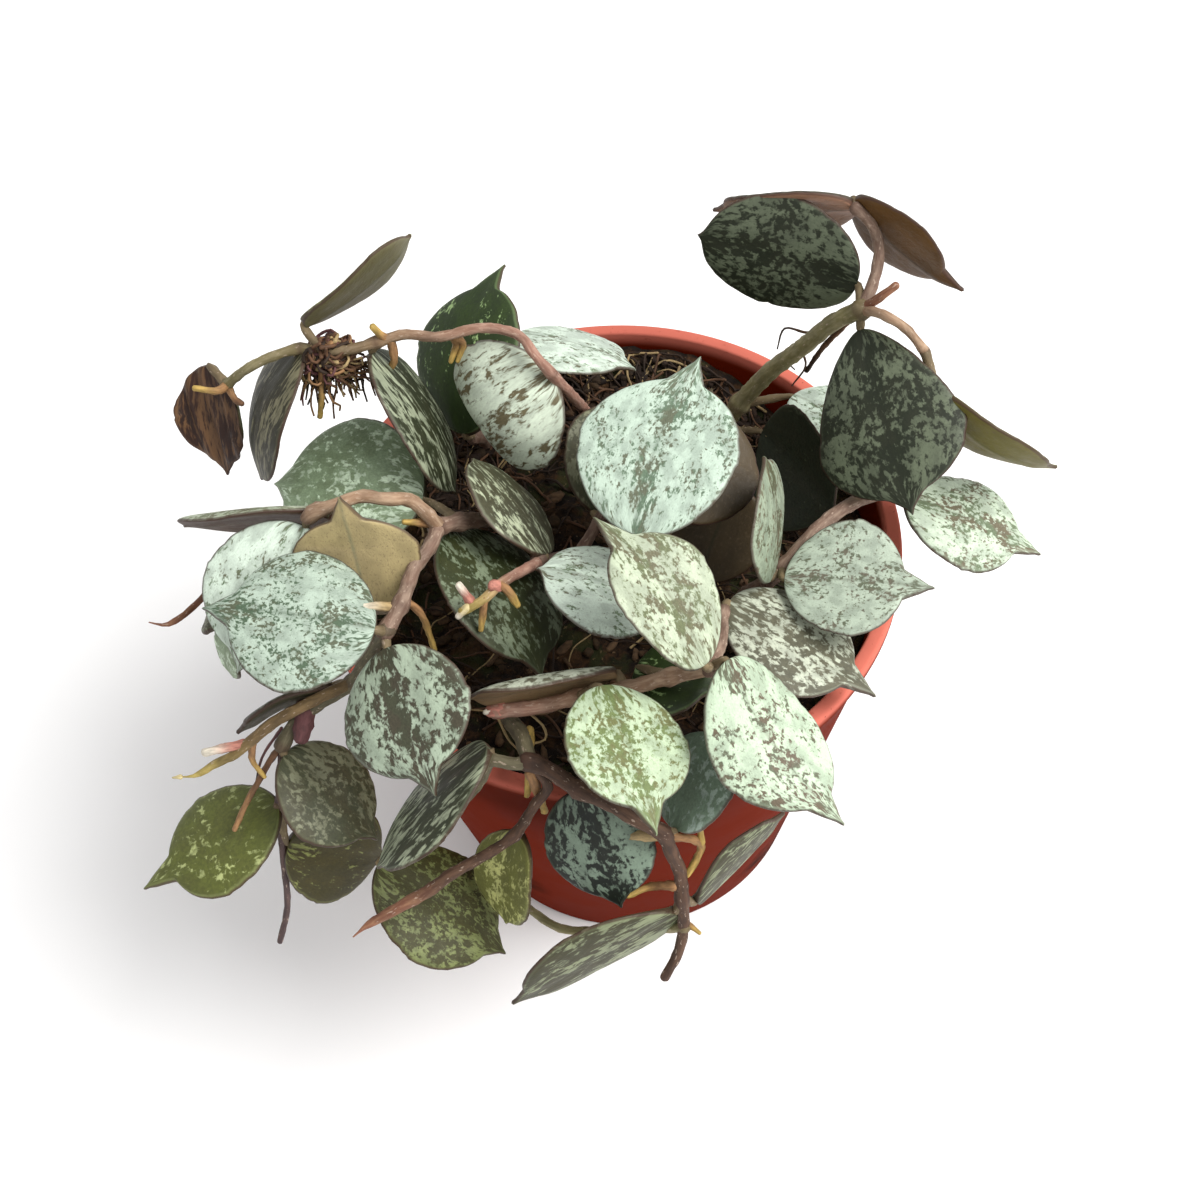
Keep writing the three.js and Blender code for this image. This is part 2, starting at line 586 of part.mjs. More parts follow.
const plant = new THREE.Group();
plant.add(named('pot', pot(), FINISH.pot));
plant.add(named('potting_mix', pottingMix(), FINISH.mix));
Object.entries(VINES).forEach(([name, parts]) => plant.add(named(name, vine(parts), FINISH.vine)));

export default plant;
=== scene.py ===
"""Looks of a potted silver Hoya curtisii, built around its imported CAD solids.

The plan tables are in millimetres, in the frame of the CAD part. The meshes are in metres.
"""

from __future__ import annotations

import logging
import math
from dataclasses import dataclass
from enum import Enum

import bpy
import numpy as np
from mathutils import Matrix, Vector

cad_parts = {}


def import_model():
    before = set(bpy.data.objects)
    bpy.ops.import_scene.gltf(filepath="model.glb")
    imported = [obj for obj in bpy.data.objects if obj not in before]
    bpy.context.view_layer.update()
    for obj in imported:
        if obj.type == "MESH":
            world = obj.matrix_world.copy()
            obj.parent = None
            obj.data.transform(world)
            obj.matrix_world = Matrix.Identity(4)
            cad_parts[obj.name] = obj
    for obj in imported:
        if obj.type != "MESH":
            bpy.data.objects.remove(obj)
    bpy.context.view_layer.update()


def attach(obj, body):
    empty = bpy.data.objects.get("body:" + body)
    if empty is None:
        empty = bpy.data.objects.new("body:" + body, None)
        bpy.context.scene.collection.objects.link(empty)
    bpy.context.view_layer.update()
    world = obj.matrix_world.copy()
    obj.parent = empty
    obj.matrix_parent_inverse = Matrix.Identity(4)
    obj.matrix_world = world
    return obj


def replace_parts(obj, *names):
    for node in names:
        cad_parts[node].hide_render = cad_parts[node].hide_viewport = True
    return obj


Point = tuple[float, float, float]
Colour = tuple[float, float, float, float]
Face = tuple[int, ...]
Span = tuple[float, float]
Socket = bpy.types.NodeSocket
Material = bpy.types.Material
Object = bpy.types.Object

log = logging.getLogger("hoya")

MM = 0.001
BODY = "root"
UP = np.array((0.0, 0.0, 1.0))
SHORTEST_STEP = 1e-4

# Places of the Mix node's colour sockets.
MIX_BELOW, MIX_ABOVE, MIX_RESULT = 6, 7, 2


def linear(code: str) -> Colour:
    """Turns a screen colour into the shader's own scale, by the usual screen curve.

    Args:
        code: Six hexadecimal digits after a hash sign.

    Returns:
        Red, green, blue and a full alpha.
    """
    shares = [int(code[i : i + 2], 16) / 255 for i in (1, 3, 5)]
    red, green, blue = [
        c / 12.92 if c <= 0.04045 else ((c + 0.055) / 1.055) ** 2.4 for c in shares
    ]
    return (red, green, blue, 1.0)


def unit(vector: np.ndarray) -> np.ndarray:
    """Returns the vector at length one."""
    return vector / np.linalg.norm(vector)


def turned_about(vector: np.ndarray, axis: np.ndarray, degrees: float) -> np.ndarray:
    """Turns a vector that is square to a unit axis.

    Args:
        vector: The vector, square to the axis.
        axis: Unit axis of the turn.
        degrees: Angle of the turn.

    Returns:
        The turned vector.
    """
    angle = math.radians(degrees)
    return vector * math.cos(angle) + np.cross(axis, vector) * math.sin(angle)


def smooth(x: np.ndarray, low: float, high: float) -> np.ndarray:
    """Rises softly from 0 at low to 1 at high.

    Args:
        x: Places to read.
        low: Where the rise starts.
        high: Where it ends.

    Returns:
        The share at each place.
    """
    t = np.clip((x - low) / (high - low), 0, 1)
    return t * t * (3 - 2 * t)


def curved(route: tuple[Point, ...], per_span: int = 14) -> np.ndarray:
    """Runs a centripetal Catmull-Rom curve through a route.

    Args:
        route: Two points or more.
        per_span: Samples between neighbouring points.

    Returns:
        Points of the curve; every per_span-th one is a point of the route.
    """
    given = np.array(route, float)
    p = np.vstack([2 * given[0] - given[1], given, 2 * given[-1] - given[-2]])
    found = []
    for i in range(1, len(p) - 2):
        a, b, c, d = p[i - 1 : i + 3]
        first, middle, last = (
            max(np.linalg.norm(q), SHORTEST_STEP) ** 0.5 for q in (b - a, c - b, d - c)
        )
        leave = ((b - a) / first - (c - a) / (first + middle) + (c - b) / middle) * middle
        reach = ((c - b) / middle - (d - b) / (middle + last) + (d - c) / last) * middle
        w = np.linspace(0, 1, per_span, endpoint=False)[:, None]
        square, cube = w * w, w * w * w
        found.append(
            b
            + leave * w
            + (-3 * b + 3 * c - 2 * leave - reach) * square
            + (2 * b - 2 * c + leave + reach) * cube
        )
    found.append(given[-1][None])
    return np.vstack(found)


def lengths_of(path: np.ndarray) -> np.ndarray:
    """Returns the distance from the start of a path to each of its points."""
    return np.concatenate([[0], np.cumsum(np.linalg.norm(np.diff(path, axis=0), axis=1))])


def side_faces(sides: int, rings: int, start: int = 0) -> list[Face]:
    """Joins rings of points with four-sided faces.

    Args:
        sides: Points in each ring.
        rings: How many rings there are.
        start: Index of the first ring's first point.

    Returns:
        The faces, as indices.
    """
    faces = []
    for row in range(rings - 1):
        low, high = start + row * sides, start + (row + 1) * sides
        for k in range(sides):
            after = (k + 1) % sides
            faces.append((low + k, low + after, high + after, high + k))
    return faces


def closed_faces(sides: int, rings: int) -> list[Face]:
    """Closes rings of points with a pole at each end, which come after the rings.

    Args:
        sides: Points in each ring.
        rings: How many rings there are.

    Returns:
        The faces, as indices.
    """
    foot, crown, last = rings * sides, rings * sides + 1, (rings - 1) * sides
    faces = side_faces(sides, rings)
    faces += [((k + 1) % sides, k, foot) for k in range(sides)]
    faces += [(last + k, last + (k + 1) % sides, crown) for k in range(sides)]
    return faces


def stepped(path: np.ndarray, step: float) -> tuple[np.ndarray, np.ndarray]:
    """Spaces points evenly along a path.

    Args:
        path: Points of the path.
        step: About the distance between the new points.

    Returns:
        The new points and their distances from the start.
    """
    far = lengths_of(path)
    count = max(2, round(far[-1] / step)) + 1
    at = np.linspace(0, far[-1], count)
    return np.stack([np.interp(at, far, path[:, k]) for k in range(3)], axis=1), at


class Shape:
    """Points, faces and values for each point, which end up as one mesh."""

    def __init__(self) -> None:
        """Starts with nothing."""
        self.points: list[np.ndarray] = []
        self.faces: list[Face] = []
        self.values: dict[str, list[np.ndarray]] = {}
        self.count = 0

    def add(self, points: np.ndarray, faces: list[Face], **values: np.ndarray) -> None:
        """Adds one closed form.

        Args:
            points: Its points, in millimetres.
            faces: Its faces, as indices into points.
            values: Named values for each point, with one, three or four columns.
        """
        self.points.append(points)
        self.faces.extend(tuple(i + self.count for i in face) for face in faces)
        for name, value in values.items():
            self.values.setdefault(name, []).append(
                np.broadcast_to(value, (len(points), np.atleast_1d(value).shape[-1]))
            )
        self.count += len(points)

    def built(self, name: str, material: Material) -> Object:
        """Makes the mesh and puts it on the part's body.

        Args:
            name: Name of the piece.
            material: Its material.

        Returns:
            The new object.
        """
        mesh = bpy.data.meshes.new(name)
        mesh.from_pydata((np.vstack(self.points) * MM).tolist(), [], self.faces)
        mesh.polygons.foreach_set("use_smooth", np.ones(len(mesh.polygons), bool))
        for key, parts in self.values.items():
            value = np.vstack(parts).astype(np.float32)
            kind, field_name = {
                1: ("FLOAT", "value"),
                3: ("FLOAT_VECTOR", "vector"),
                4: ("FLOAT_COLOR", "color"),
            }[value.shape[1]]
            mesh.attributes.new(key, kind, "POINT").data.foreach_set(field_name, value.ravel())
        mesh.validate()
        mesh.materials.append(material)
        piece = bpy.data.objects.new(name, mesh)
        bpy.context.scene.collection.objects.link(piece)
        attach(piece, BODY)
        log.info("%s: %d faces", name, len(mesh.polygons))
        return piece


class NodeBench:
    """A material under work, with short calls for the nodes that its finish needs."""

    def __init__(self, name: str) -> None:
        """Makes a material with a Principled shader.

        Args:
            name: Name of the material.
        """
        self.material = bpy.data.materials.new(name)
        self.material.use_nodes = True
        self.tree = self.material.node_tree
        self.shader = self.tree.nodes["Principled BSDF"]

    def into(self, socket: Socket, value: object) -> None:
        """Links or sets a socket.

        Args:
            socket: The input to fill.
            value: Another node's output, a number, or a tuple.
        """
        if isinstance(value, Socket):
            self.tree.links.new(value, socket)
        elif value is not None:
            socket.default_value = value

    def attribute(self, name: str, output: str = "Vector") -> Socket:
        """Reads one of the mesh's attributes.

        Args:
            name: Name of the attribute.
            output: Name of the output.

        Returns:
            The output.
        """
        node = self.tree.nodes.new("ShaderNodeAttribute")
        node.attribute_name = name
        return node.outputs[output]

    def parts(self, vector: Socket) -> tuple[Socket, ...]:
        """Splits a vector.

        Args:
            vector: The vector.

        Returns:
            Its three numbers.
        """
        node = self.tree.nodes.new("ShaderNodeSeparateXYZ")
        self.into(node.inputs[0], vector)
        return tuple(node.outputs)

    def place(self) -> Socket:
        """Returns the point's place on the object, in metres."""
        return self.tree.nodes.new("ShaderNodeTexCoord").outputs["Object"]

    def stretched(self, vector: Socket, by: Point) -> Socket:
        """Stretches a vector.

        Args:
            vector: The vector.
            by: What each of its numbers is multiplied by.

        Returns:
            The stretched vector.
        """
        node = self.tree.nodes.new("ShaderNodeVectorMath")
        node.operation = "MULTIPLY"
        self.into(node.inputs[0], vector)
        node.inputs[1].default_value = by
        return node.outputs[0]

    def noise(
        self,
        vector: Socket,
        scale: float,
        detail: float = 2.0,
        roughness: float = 0.5,
        distortion: float = 0.0,
    ) -> Socket:
        """Reads cloudy noise.

        Args:
            vector: Where to read it.
            scale: Clouds for each unit of the vector.
            detail: How many finer layers it has.
            roughness: Weight of the finer layers.
            distortion: How far it is stirred.

        Returns:
            A number about one half.
        """
        node = self.tree.nodes.new("ShaderNodeTexNoise")
        self.into(node.inputs["Vector"], vector)
        node.inputs["Scale"].default_value = scale
        node.inputs["Detail"].default_value = detail
        node.inputs["Roughness"].default_value = roughness
        node.inputs["Distortion"].default_value = distortion
        return node.outputs[0]

    def ranged(
        self,
        value: Socket,
        low: float,
        high: float,
        to_low: float = 0.0,
        to_high: float = 1.0,
    ) -> Socket:
        """Maps a number softly from one range to another.

        Args:
            value: The number.
            low: Start of its range.
            high: End of its range.
            to_low: What low becomes.
            to_high: What high becomes.

        Returns:
            The mapped number.
        """
        node = self.tree.nodes.new("ShaderNodeMapRange")
        node.interpolation_type = "SMOOTHSTEP"
        for socket, given in zip(node.inputs, (value, low, high, to_low, to_high)):
            self.into(socket, given)
        return node.outputs[0]

    def sum(self, *terms: object) -> Socket:
        """Returns the sum of numbers and sockets."""
        return self.folded("ADD", terms)

    def product(self, *terms: object) -> Socket:
        """Returns the product of numbers and sockets."""
        return self.folded("MULTIPLY", terms)

    def folded(self, operation: str, terms: tuple[object, ...]) -> Socket:
        """Joins terms two by two.

        Args:
            operation: Name of the Math node's operation.
            terms: Numbers and sockets.

        Returns:
            The last result.
        """
        result = terms[0]
        for term in terms[1:]:
            node = self.tree.nodes.new("ShaderNodeMath")
            node.operation = operation
            self.into(node.inputs[0], result)
            self.into(node.inputs[1], term)
            result = node.outputs[0]
        return result

    def size_of(self, value: Socket) -> Socket:
        """Takes the sign off a number.

        Args:
            value: The number.

        Returns:
            Its size.
        """
        node = self.tree.nodes.new("ShaderNodeMath")
        node.operation = "ABSOLUTE"
        self.into(node.inputs[0], value)
        return node.outputs[0]

    def blended(self, below: object, above: object, share: object) -> Socket:
        """Lays one colour over another.

        Args:
            below: The colour at share 0.
            above: The colour at share 1.
            share: How much of above is seen.

        Returns:
            The blended colour.
        """
        node = self.tree.nodes.new("ShaderNodeMix")
        node.data_type = "RGBA"
        self.into(node.inputs[0], share)
        self.into(node.inputs[MIX_BELOW], below)
        self.into(node.inputs[MIX_ABOVE], above)
        return node.outputs[MIX_RESULT]

    def toned(self, colour: object, value: Socket) -> Socket:
        """Makes a colour darker or lighter.

        Args:
            colour: The colour, as a socket or three numbers.
            value: A number about 1 to multiply it by.

        Returns:
            The toned colour.
        """
        node = self.tree.nodes.new("ShaderNodeVectorMath")
        node.operation = "SCALE"
        self.into(node.inputs[0], colour)
        self.into(node.inputs["Scale"], value)
        return node.outputs[0]

    def bumped(self, height: Socket, strength: float, distance: float) -> None:
        """Gives the shader a bump.

        Args:
            height: The height, from 0 to 1.
            strength: Share of the bump that shows.
            distance: Depth of the bump, in millimetres.
        """
        node = self.tree.nodes.new("ShaderNodeBump")
        node.inputs["Strength"].default_value = strength
        node.inputs["Distance"].default_value = distance * MM
        self.into(node.inputs["Height"], height)
        self.into(self.shader.inputs["Normal"], node.outputs[0])

    def finished(self, colour: object, roughness: object, specular: float = 0.5) -> Material:
        """Sets the shader's main inputs.

        Args:
            colour: Base colour.
            roughness: Roughness.
            specular: Level of the specular reflection.

        Returns:
            The finished material.
        """
        self.into(self.shader.inputs["Base Color"], colour)
        self.into(self.shader.inputs["Roughness"], roughness)
        self.shader.inputs["Specular IOR Level"].default_value = specular
        return self.material


@dataclass(frozen=True)
class LeafPattern:
    """How a leaf's upper face is marked.

    The silver lies over the ground colour, which shows through it in flecks. The cover, rib and
    edge values raise the amount of ground everywhere, along the midrib and along the margins.
    """

    silver: str
    ground: str
    second: str
    cover: float
    rib: float = 0.08
    edge: float = 0.02
    fleck: float = 0.52
    streak: float = 1.5


class Look(Enum):
    """The leaf patterns that are seen on the plant."""

    FROSTED = LeafPattern("#acbdae", "#627661", "#616653", -0.1, rib=0.13, fleck=0.5, streak=1.8)
    CREAM = LeafPattern("#b0beaa", "#637155", "#625b46", -0.06, rib=0.12, streak=1.8)
    FROSTED_PALE = LeafPattern("#bac8ba", "#65765c", "#5e5f4a", -0.13, streak=2.0)
    CLUSTERED = LeafPattern("#9baa9c", "#485b46", "#525844", -0.07, rib=0.06, edge=0.03, fleck=0.5)
    BRIGHT = LeafPattern("#abbca4", "#5a5e4a", "#5d5241", -0.1, fleck=0.62, streak=1.7)
    MINT = LeafPattern("#97a393", "#575d4a", "#5c5849", -0.10, rib=0.07, edge=0.0)
    SHADED = LeafPattern("#838f7b", "#4d4f38", "#574e38", -0.08, rib=0.10, edge=0.05, streak=2.2)
    YELLOWED = LeafPattern("#a4ae97", "#606748", "#5e5b43", -0.07, fleck=0.66, streak=1.8)
    YELLOW_GREEN = LeafPattern("#a6b799", "#667446", "#676a42", -0.03, rib=0.07, fleck=0.66)
    HALF_BROWN = LeafPattern("#97a591", "#413d2f", "#3f4130", 0.0, rib=0.12, fleck=0.9, streak=1.7)
    BROWN_SILVER = LeafPattern("#a8ae9c", "#51503f", "#565442", -0.02, rib=0.09, fleck=0.8, streak=1.8)
    LOBED = LeafPattern("#bbc6b4", "#5c543c", "#5d563d", -0.05, rib=0.03, edge=0.0, fleck=0.8, streak=3.0)
    HALF_GREEN = LeafPattern("#6a755e", "#2a3113", "#303516", 0.03, rib=0.08, fleck=0.75, streak=1.8)
    # GREY_GREEN is lightened as painted light, for a leaf that lies in the shadow of the root clump.
    GREY_GREEN = LeafPattern("#b9cab2", "#7f9174", "#738366", 0.06, rib=0.03, fleck=0.9, streak=1.6)
    # DARK is a muted pattern whose ground is also darkened as painted shade, for leaves that lie in
    # shade.
    DARK = LeafPattern("#535b48", "#171e0c", "#1c2110", -0.02, rib=0.12, fleck=0.85, streak=1.6)
    DARK_BROWN = LeafPattern("#6b6d56", "#42412c", "#3d402b", 0.02, rib=0.04, fleck=0.9)
    DARK_SPARSE = LeafPattern("#8ca66f", "#1d2d08", "#23340a", 0.13, fleck=0.8, streak=2.0)
    # DARK_PLAIN is the leaf's green darkened, and its silver dimmed, as painted shade for a cupped leaf
    # in shade.
    DARK_PLAIN = LeafPattern("#4e5644", "#262d1e", "#2a2e1f", 0.15, fleck=0.9)
    STREAKED = LeafPattern("#8d957d", "#262b17", "#2b2e1a", 0.04, rib=0.05, fleck=0.7, streak=4.5)
    STREAKED_DARK = LeafPattern("#6b674f", "#252413", "#292615", 0.04, rib=0.05, fleck=0.7, streak=4.5)
    STREAKED_BROWN = LeafPattern("#99a086", "#383825", "#3c3b26", 0.06, rib=0.05, fleck=0.8, streak=3.2)
    STREAKED_LIGHT = LeafPattern("#767e5e", "#313014", "#343115", 0.01, fleck=0.75, streak=3.6)
    OLIVE = LeafPattern("#9ba36c", "#525823", "#4e5222", 0.12, rib=0.0, fleck=1.15, streak=1.5)
    OLIVE_BROWN = LeafPattern("#7f8448", "#3d360f", "#36310d", 0.12, rib=0.02, fleck=0.8, streak=2.0)
    OLIVE_MOTTLED = LeafPattern("#6b7344", "#3c3b18", "#393817", 0.0, fleck=0.62, streak=1.8)
    LIGHT_GREEN = LeafPattern("#b5b775", "#6f7139", "#686937", 0.06, rib=0.02, fleck=0.7)
    # TEAL is its own teal green darkened further as painted shade, for a leaf that lies in shadow.
    TEAL = LeafPattern("#6c7c6c", "#121912", "#151b12", -0.03, rib=0.12, fleck=0.9, streak=1.6)
    TEAL_PLAIN = LeafPattern("#86968a", "#637663", "#5e6f5d", 0.06, fleck=0.9)
    DEAD = LeafPattern("#5c4026", "#230c02", "#2b1104", 0.03, rib=0.0, fleck=0.5, streak=8.0)


class Under(Enum):
    """The colours of the leaves' undersides."""

    GREEN = "#5c6146"
    OLIVE = "#6c6748"
    OLIVE_BROWN = "#635b25"
    RED_BROWN = "#967059"
    MAROON = "#5c3f1c"
    # TAUPE is partly painted shade: a brown underside darkened for undersides that lie in shade.
    TAUPE = "#40331c"
    TAN = "#a4946a"
    BROWN = "#7b664a"
    DARK = "#3e3c2a"
    DRY = "#473221"


class Bark(Enum):
    """The skins of the stems, as base colour and the colour of their lengthwise streaks."""

    PINK = ("#6d5548", "#917c6c")
    ROSE = ("#866152", "#a78676")
    TAN = ("#866a53", "#a68d75")
    OLIVE = ("#756e49", "#8f8766")
    GREY = ("#58523f", "#746d55")
    MAROON = ("#402d22", "#5d4536")
    BROWN = ("#5c4a30", "#7a6444")
    RED = ("#784b39", "#966e53")
    GOLDEN = ("#8d7d42", "#b19f5f")
    DUSK = ("#443535", "#604d49")
    STALK = ("#695a42", "#7d6e53")


class Tint(Enum):
    """The colours of aerial roots, buds and fibres."""

    AMBER = "#916d4a"
    GOLD = "#b09451"
    PALE = "#c7b889"
    PINK = "#b07668"
    PLUM = "#634041"
    BROWN = "#5f4431"
    STRAW = "#a08a63"
    DARK = "#33261d"
    WHITE = "#cec6b6"


@dataclass(frozen=True)
class Leaf:
    """One leaf, as in the part's source.

    It grows from point at of the stem named on. The midrib runs from base to tip and turn rolls
    the blade about it from face up. Arch lifts the middle of the midrib and sway moves it
    sideways, cup lifts the margins and hook lifts the point. As shares of the length, widest is
    where it is broadest and point is how much is the narrow point. A low foot makes the base
    wedge-shaped.
    """

    look: Look
    on: str
    at: int
    base: Point
    tip: Point
    turn: float
    width: float = 20
    arch: float = 1
    cup: float = -1
    hook: float = 0
    sway: float = 0
    widest: float = 0.45
    point: float = 0.12
    foot: float = 1.8
    under: Under = Under.GREEN


@dataclass(frozen=True)
class Stem:
    """One shoot through its route, with the radii spread evenly along it.

    Its bark turns into the skin named last towards its end, and a pointed shoot tapers there.
    """

    radii: tuple[float, ...]
    route: tuple[Point, ...]
    bark: Bark = Bark.PINK
    last: Bark | None = None
    pointed: bool = False


@dataclass(frozen=True)
class Root:
    """One aerial root, spur, bud or cut end, whose tint turns into the one named last."""

    radii: tuple[float, float]
    route: tuple[Point, ...]
    tint: Tint = Tint.AMBER
    last: Tint = Tint.GOLD


@dataclass(frozen=True)
class Tangle:
    """A hanging clump of dry roots: where it hangs from and how far it spreads and drops.

    Sizes are in millimetres. Each strand starts loosely about the knot and curls on its way down.
    """

    knot: Point
    reach: Point
    strands: int = 170
    spread: Span = (0.15, 1.0)
    drop: Span = (0.1, 0.9)
    loose: float = 0.9
    curl: Span = (0.5, 1.6)
    loops: Span = (1, 2.4)
    bends: int = 8
    radius: Span = (0.2, 0.4)
    end_radius: float = 0.14
    step: float = 0.8
    phase: float = 0.3
    tints: tuple[Tint, ...] = (
        Tint.BROWN, Tint.STRAW, Tint.DARK, Tint.AMBER, Tint.BROWN, Tint.PLUM
    )

    def strand(self, draw: np.random.Generator) -> tuple[np.ndarray, np.ndarray]:
        """Draws one strand.

        Args:
            draw: Source of the random draws.

        Returns:
            Points of its middle and the radius at each.
        """
        knot, reach = np.array(self.knot, float), np.array(self.reach, float)
        turn, spread = draw.uniform(0, 2 * np.pi), draw.uniform(*self.spread) ** 0.7
        drop = -draw.uniform(*self.drop)
        end = knot + reach * np.array((spread * np.cos(turn), spread * np.sin(turn), drop))
        start = knot + draw.normal(0, self.loose, 3)
        curl = draw.uniform(*self.curl)
        phase = draw.uniform(0, 2 * np.pi)
        loops = draw.uniform(*self.loops)
        line = []
        for share in np.linspace(0, 1, self.bends):
            angle = phase + 2 * np.pi * loops * share
            swing = curl * (0.35 + 0.65 * math.sin(math.pi * min(1.0, share + 0.15)))
            bow = np.array((math.cos(angle), math.sin(angle), 0.7 * math.sin(angle + 1)))
            sag = np.array((share**0.8, share**0.8, share**1.4))
            line.append(tuple(start + (end - start) * sag + swing * bow))
        path, far = stepped(curved(tuple(line), 5), self.step)
        ends = (draw.uniform(*self.radius), self.end_radius)
        return path, np.interp(far / far[-1], (0, 1), ends)


@dataclass(frozen=True)
class LeafSkin:
    """The finish of the leaves: silver over green above, plain below, a thin dark margin with a painted
    highlight inside it.

    The widths are in millimetres. The noise is read at each leaf's own lie, whose unit is the size
    of its flecks.
    """

    margin: str = "#3c241b"
    margin_width: float = 0.42
    margin_share: float = 0.8
    # Width and share of the painted highlight: silver laid on the upper face just inside the margin.
    highlight_width: float = 0.8
    highlight_share: float = 0.22
    vein_width: float = 0.45
    vein_share: float = 0.4
    rib_width: float = 3.2
    edge_width: float = 2.4
    soft: float = 0.075
    clump_scale: float = 0.17
    clump_share: float = 0.55
    cloud_scale: float = 0.3
    patch_scale: float = 0.33
    dot_scale: float = 1.9
    hair_scale: float = 2.4
    dust_share: float = 0.35
    grain_scale: float = 3.1
    dot: str = "#5b4c38"
    dot_share: float = 0.4
    relief: float = 0.35
    relief_depth: float = 0.12
    gloss: float = 0.4

    def material(self) -> Material:
        """Makes the material, which reads each leaf's pattern from the mesh.

        Returns:
            The material.
        """
        bench = NodeBench("waxy_leaf")
        lie = bench.attribute("leaf_lie")
        across, inward, face = bench.parts(bench.attribute("leaf_place"))
        fine = bench.noise(lie, 1.0, 3.0, 0.6, 0.3)
        clump = bench.noise(lie, self.clump_scale, 2.0, 0.5, 0.3)
        grain = bench.noise(lie, self.grain_scale, 3.0, 0.6)
        bare = self.bareness(bench, lie, across, inward, fine, clump)
        silver = self.silver(bench, lie, grain)
        ground = self.ground(bench, lie, grain)
        skin = bench.blended(
            self.below(bench, lie, clump),
            bench.blended(silver, ground, bare),
            bench.ranged(face, -0.2, 0.2),
        )
        from_rib = bench.size_of(across)
        vein = bench.product(bench.ranged(from_rib, self.vein_width, 0.0), self.vein_share)
        skin = bench.blended(skin, bench.toned(ground, 0.8), vein)
        # Painted highlight: the upper face turns to silver in a band just inside the margin, as if light
        # caught the rounded edge.
        margin_highlight = bench.product(
            bench.ranged(inward, self.highlight_width, self.margin_width),
            bench.ranged(face, 0.2, 0.9, 0.0, self.highlight_share),
        )
        skin = bench.blended(skin, silver, margin_highlight)
        line = bench.product(bench.ranged(inward, self.margin_width, 0.08), self.margin_share)
        skin = bench.blended(skin, linear(self.margin), line)
        height = bench.sum(bench.product(grain, 0.5), bench.product(bare, -0.35), 0.5)
        bench.bumped(height, self.relief, self.relief_depth)
        return bench.finished(skin, bench.ranged(fine, 0.3, 0.7, 0.5, 0.62), self.gloss)

    def bareness(
        self,
        bench: NodeBench,
        lie: Socket,
        across: Socket,
        inward: Socket,
        fine: Socket,
        clump: Socket,
    ) -> Socket:
        """Spreads the flecks where the silver is missing.

        Args:
            bench: The material under work.
            lie: Place in the leaf's pattern.
            across: Distance from the midrib.
            inward: Distance from the margin.
            fine: Noise of the flecks.
            clump: Noise that gathers them.

        Returns:
            How bare the leaf is, with hairs at the flecks' edges.
        """
        cover, rib, edge = bench.parts(bench.attribute("leaf_habit"))
        by_rib = bench.product(rib, bench.ranged(bench.size_of(across), self.rib_width, 0.0))
        by_edge = bench.product(edge, bench.ranged(inward, self.edge_width, 0.0))
        gathered = bench.product(clump, self.clump_share)
        level = bench.sum(fine, gathered, -self.clump_share / 2, cover, by_rib, by_edge)
        bare = bench.ranged(level, 0.5 - self.soft, 0.5 + self.soft)
        hair = bench.noise(lie, self.hair_scale, 2.0, 0.5)
        dusted = bench.ranged(bench.sum(hair, bench.product(level, 0.6)), 0.78, 0.95)
        return bench.sum(bare, bench.product(dusted, self.dust_share))

    def silver(self, bench: NodeBench, lie: Socket, grain: Socket) -> Socket:
        """Clouds and grains the leaf's silver.

        Args:
            bench: The material under work.
            lie: Place in the leaf's pattern.
            grain: Noise of the grain.

        Returns:
            The colour.
        """
        cloud = bench.noise(lie, self.cloud_scale, 2.0, 0.5)
        tone = bench.product(
            bench.ranged(grain, 0.25, 0.75, 0.9, 1.1), bench.ranged(cloud, 0.35, 0.62, 0.86, 1.2)
        )
        return bench.toned(bench.attribute("leaf_silver", "Color"), tone)

    def ground(self, bench: NodeBench, lie: Socket, grain: Socket) -> Socket:
        """Lays out the colour under the silver, in patches of the leaf's two greens or browns.

        Args:
            bench: The material under work.
            lie: Place in the leaf's pattern.
            grain: Noise of the grain.

        Returns:
            The colour.
        """
        patch = bench.ranged(bench.noise(lie, self.patch_scale, 2.0), 0.42, 0.58)
        mixed = bench.blended(
            bench.attribute("leaf_ground", "Color"), bench.attribute("leaf_second", "Color"), patch
        )
        return bench.toned(mixed, bench.ranged(grain, 0.25, 0.75, 0.8, 1.2))

    def below(self, bench: NodeBench, lie: Socket, clump: Socket) -> Socket:
        """Clouds and dots the underside.

        Args:
            bench: The material under work.
            lie: Place in the leaf's pattern.
            clump: Noise of the clouds.

        Returns:
            The colour.
        """
        dots = bench.ranged(bench.noise(lie, self.dot_scale, 3.0, 0.6), 0.56, 0.66)
        plain = bench.toned(
            bench.attribute("leaf_under", "Color"), bench.ranged(clump, 0.3, 0.7, 0.82, 1.15)
        )
        return bench.blended(plain, linear(self.dot), bench.product(dots, self.dot_share))


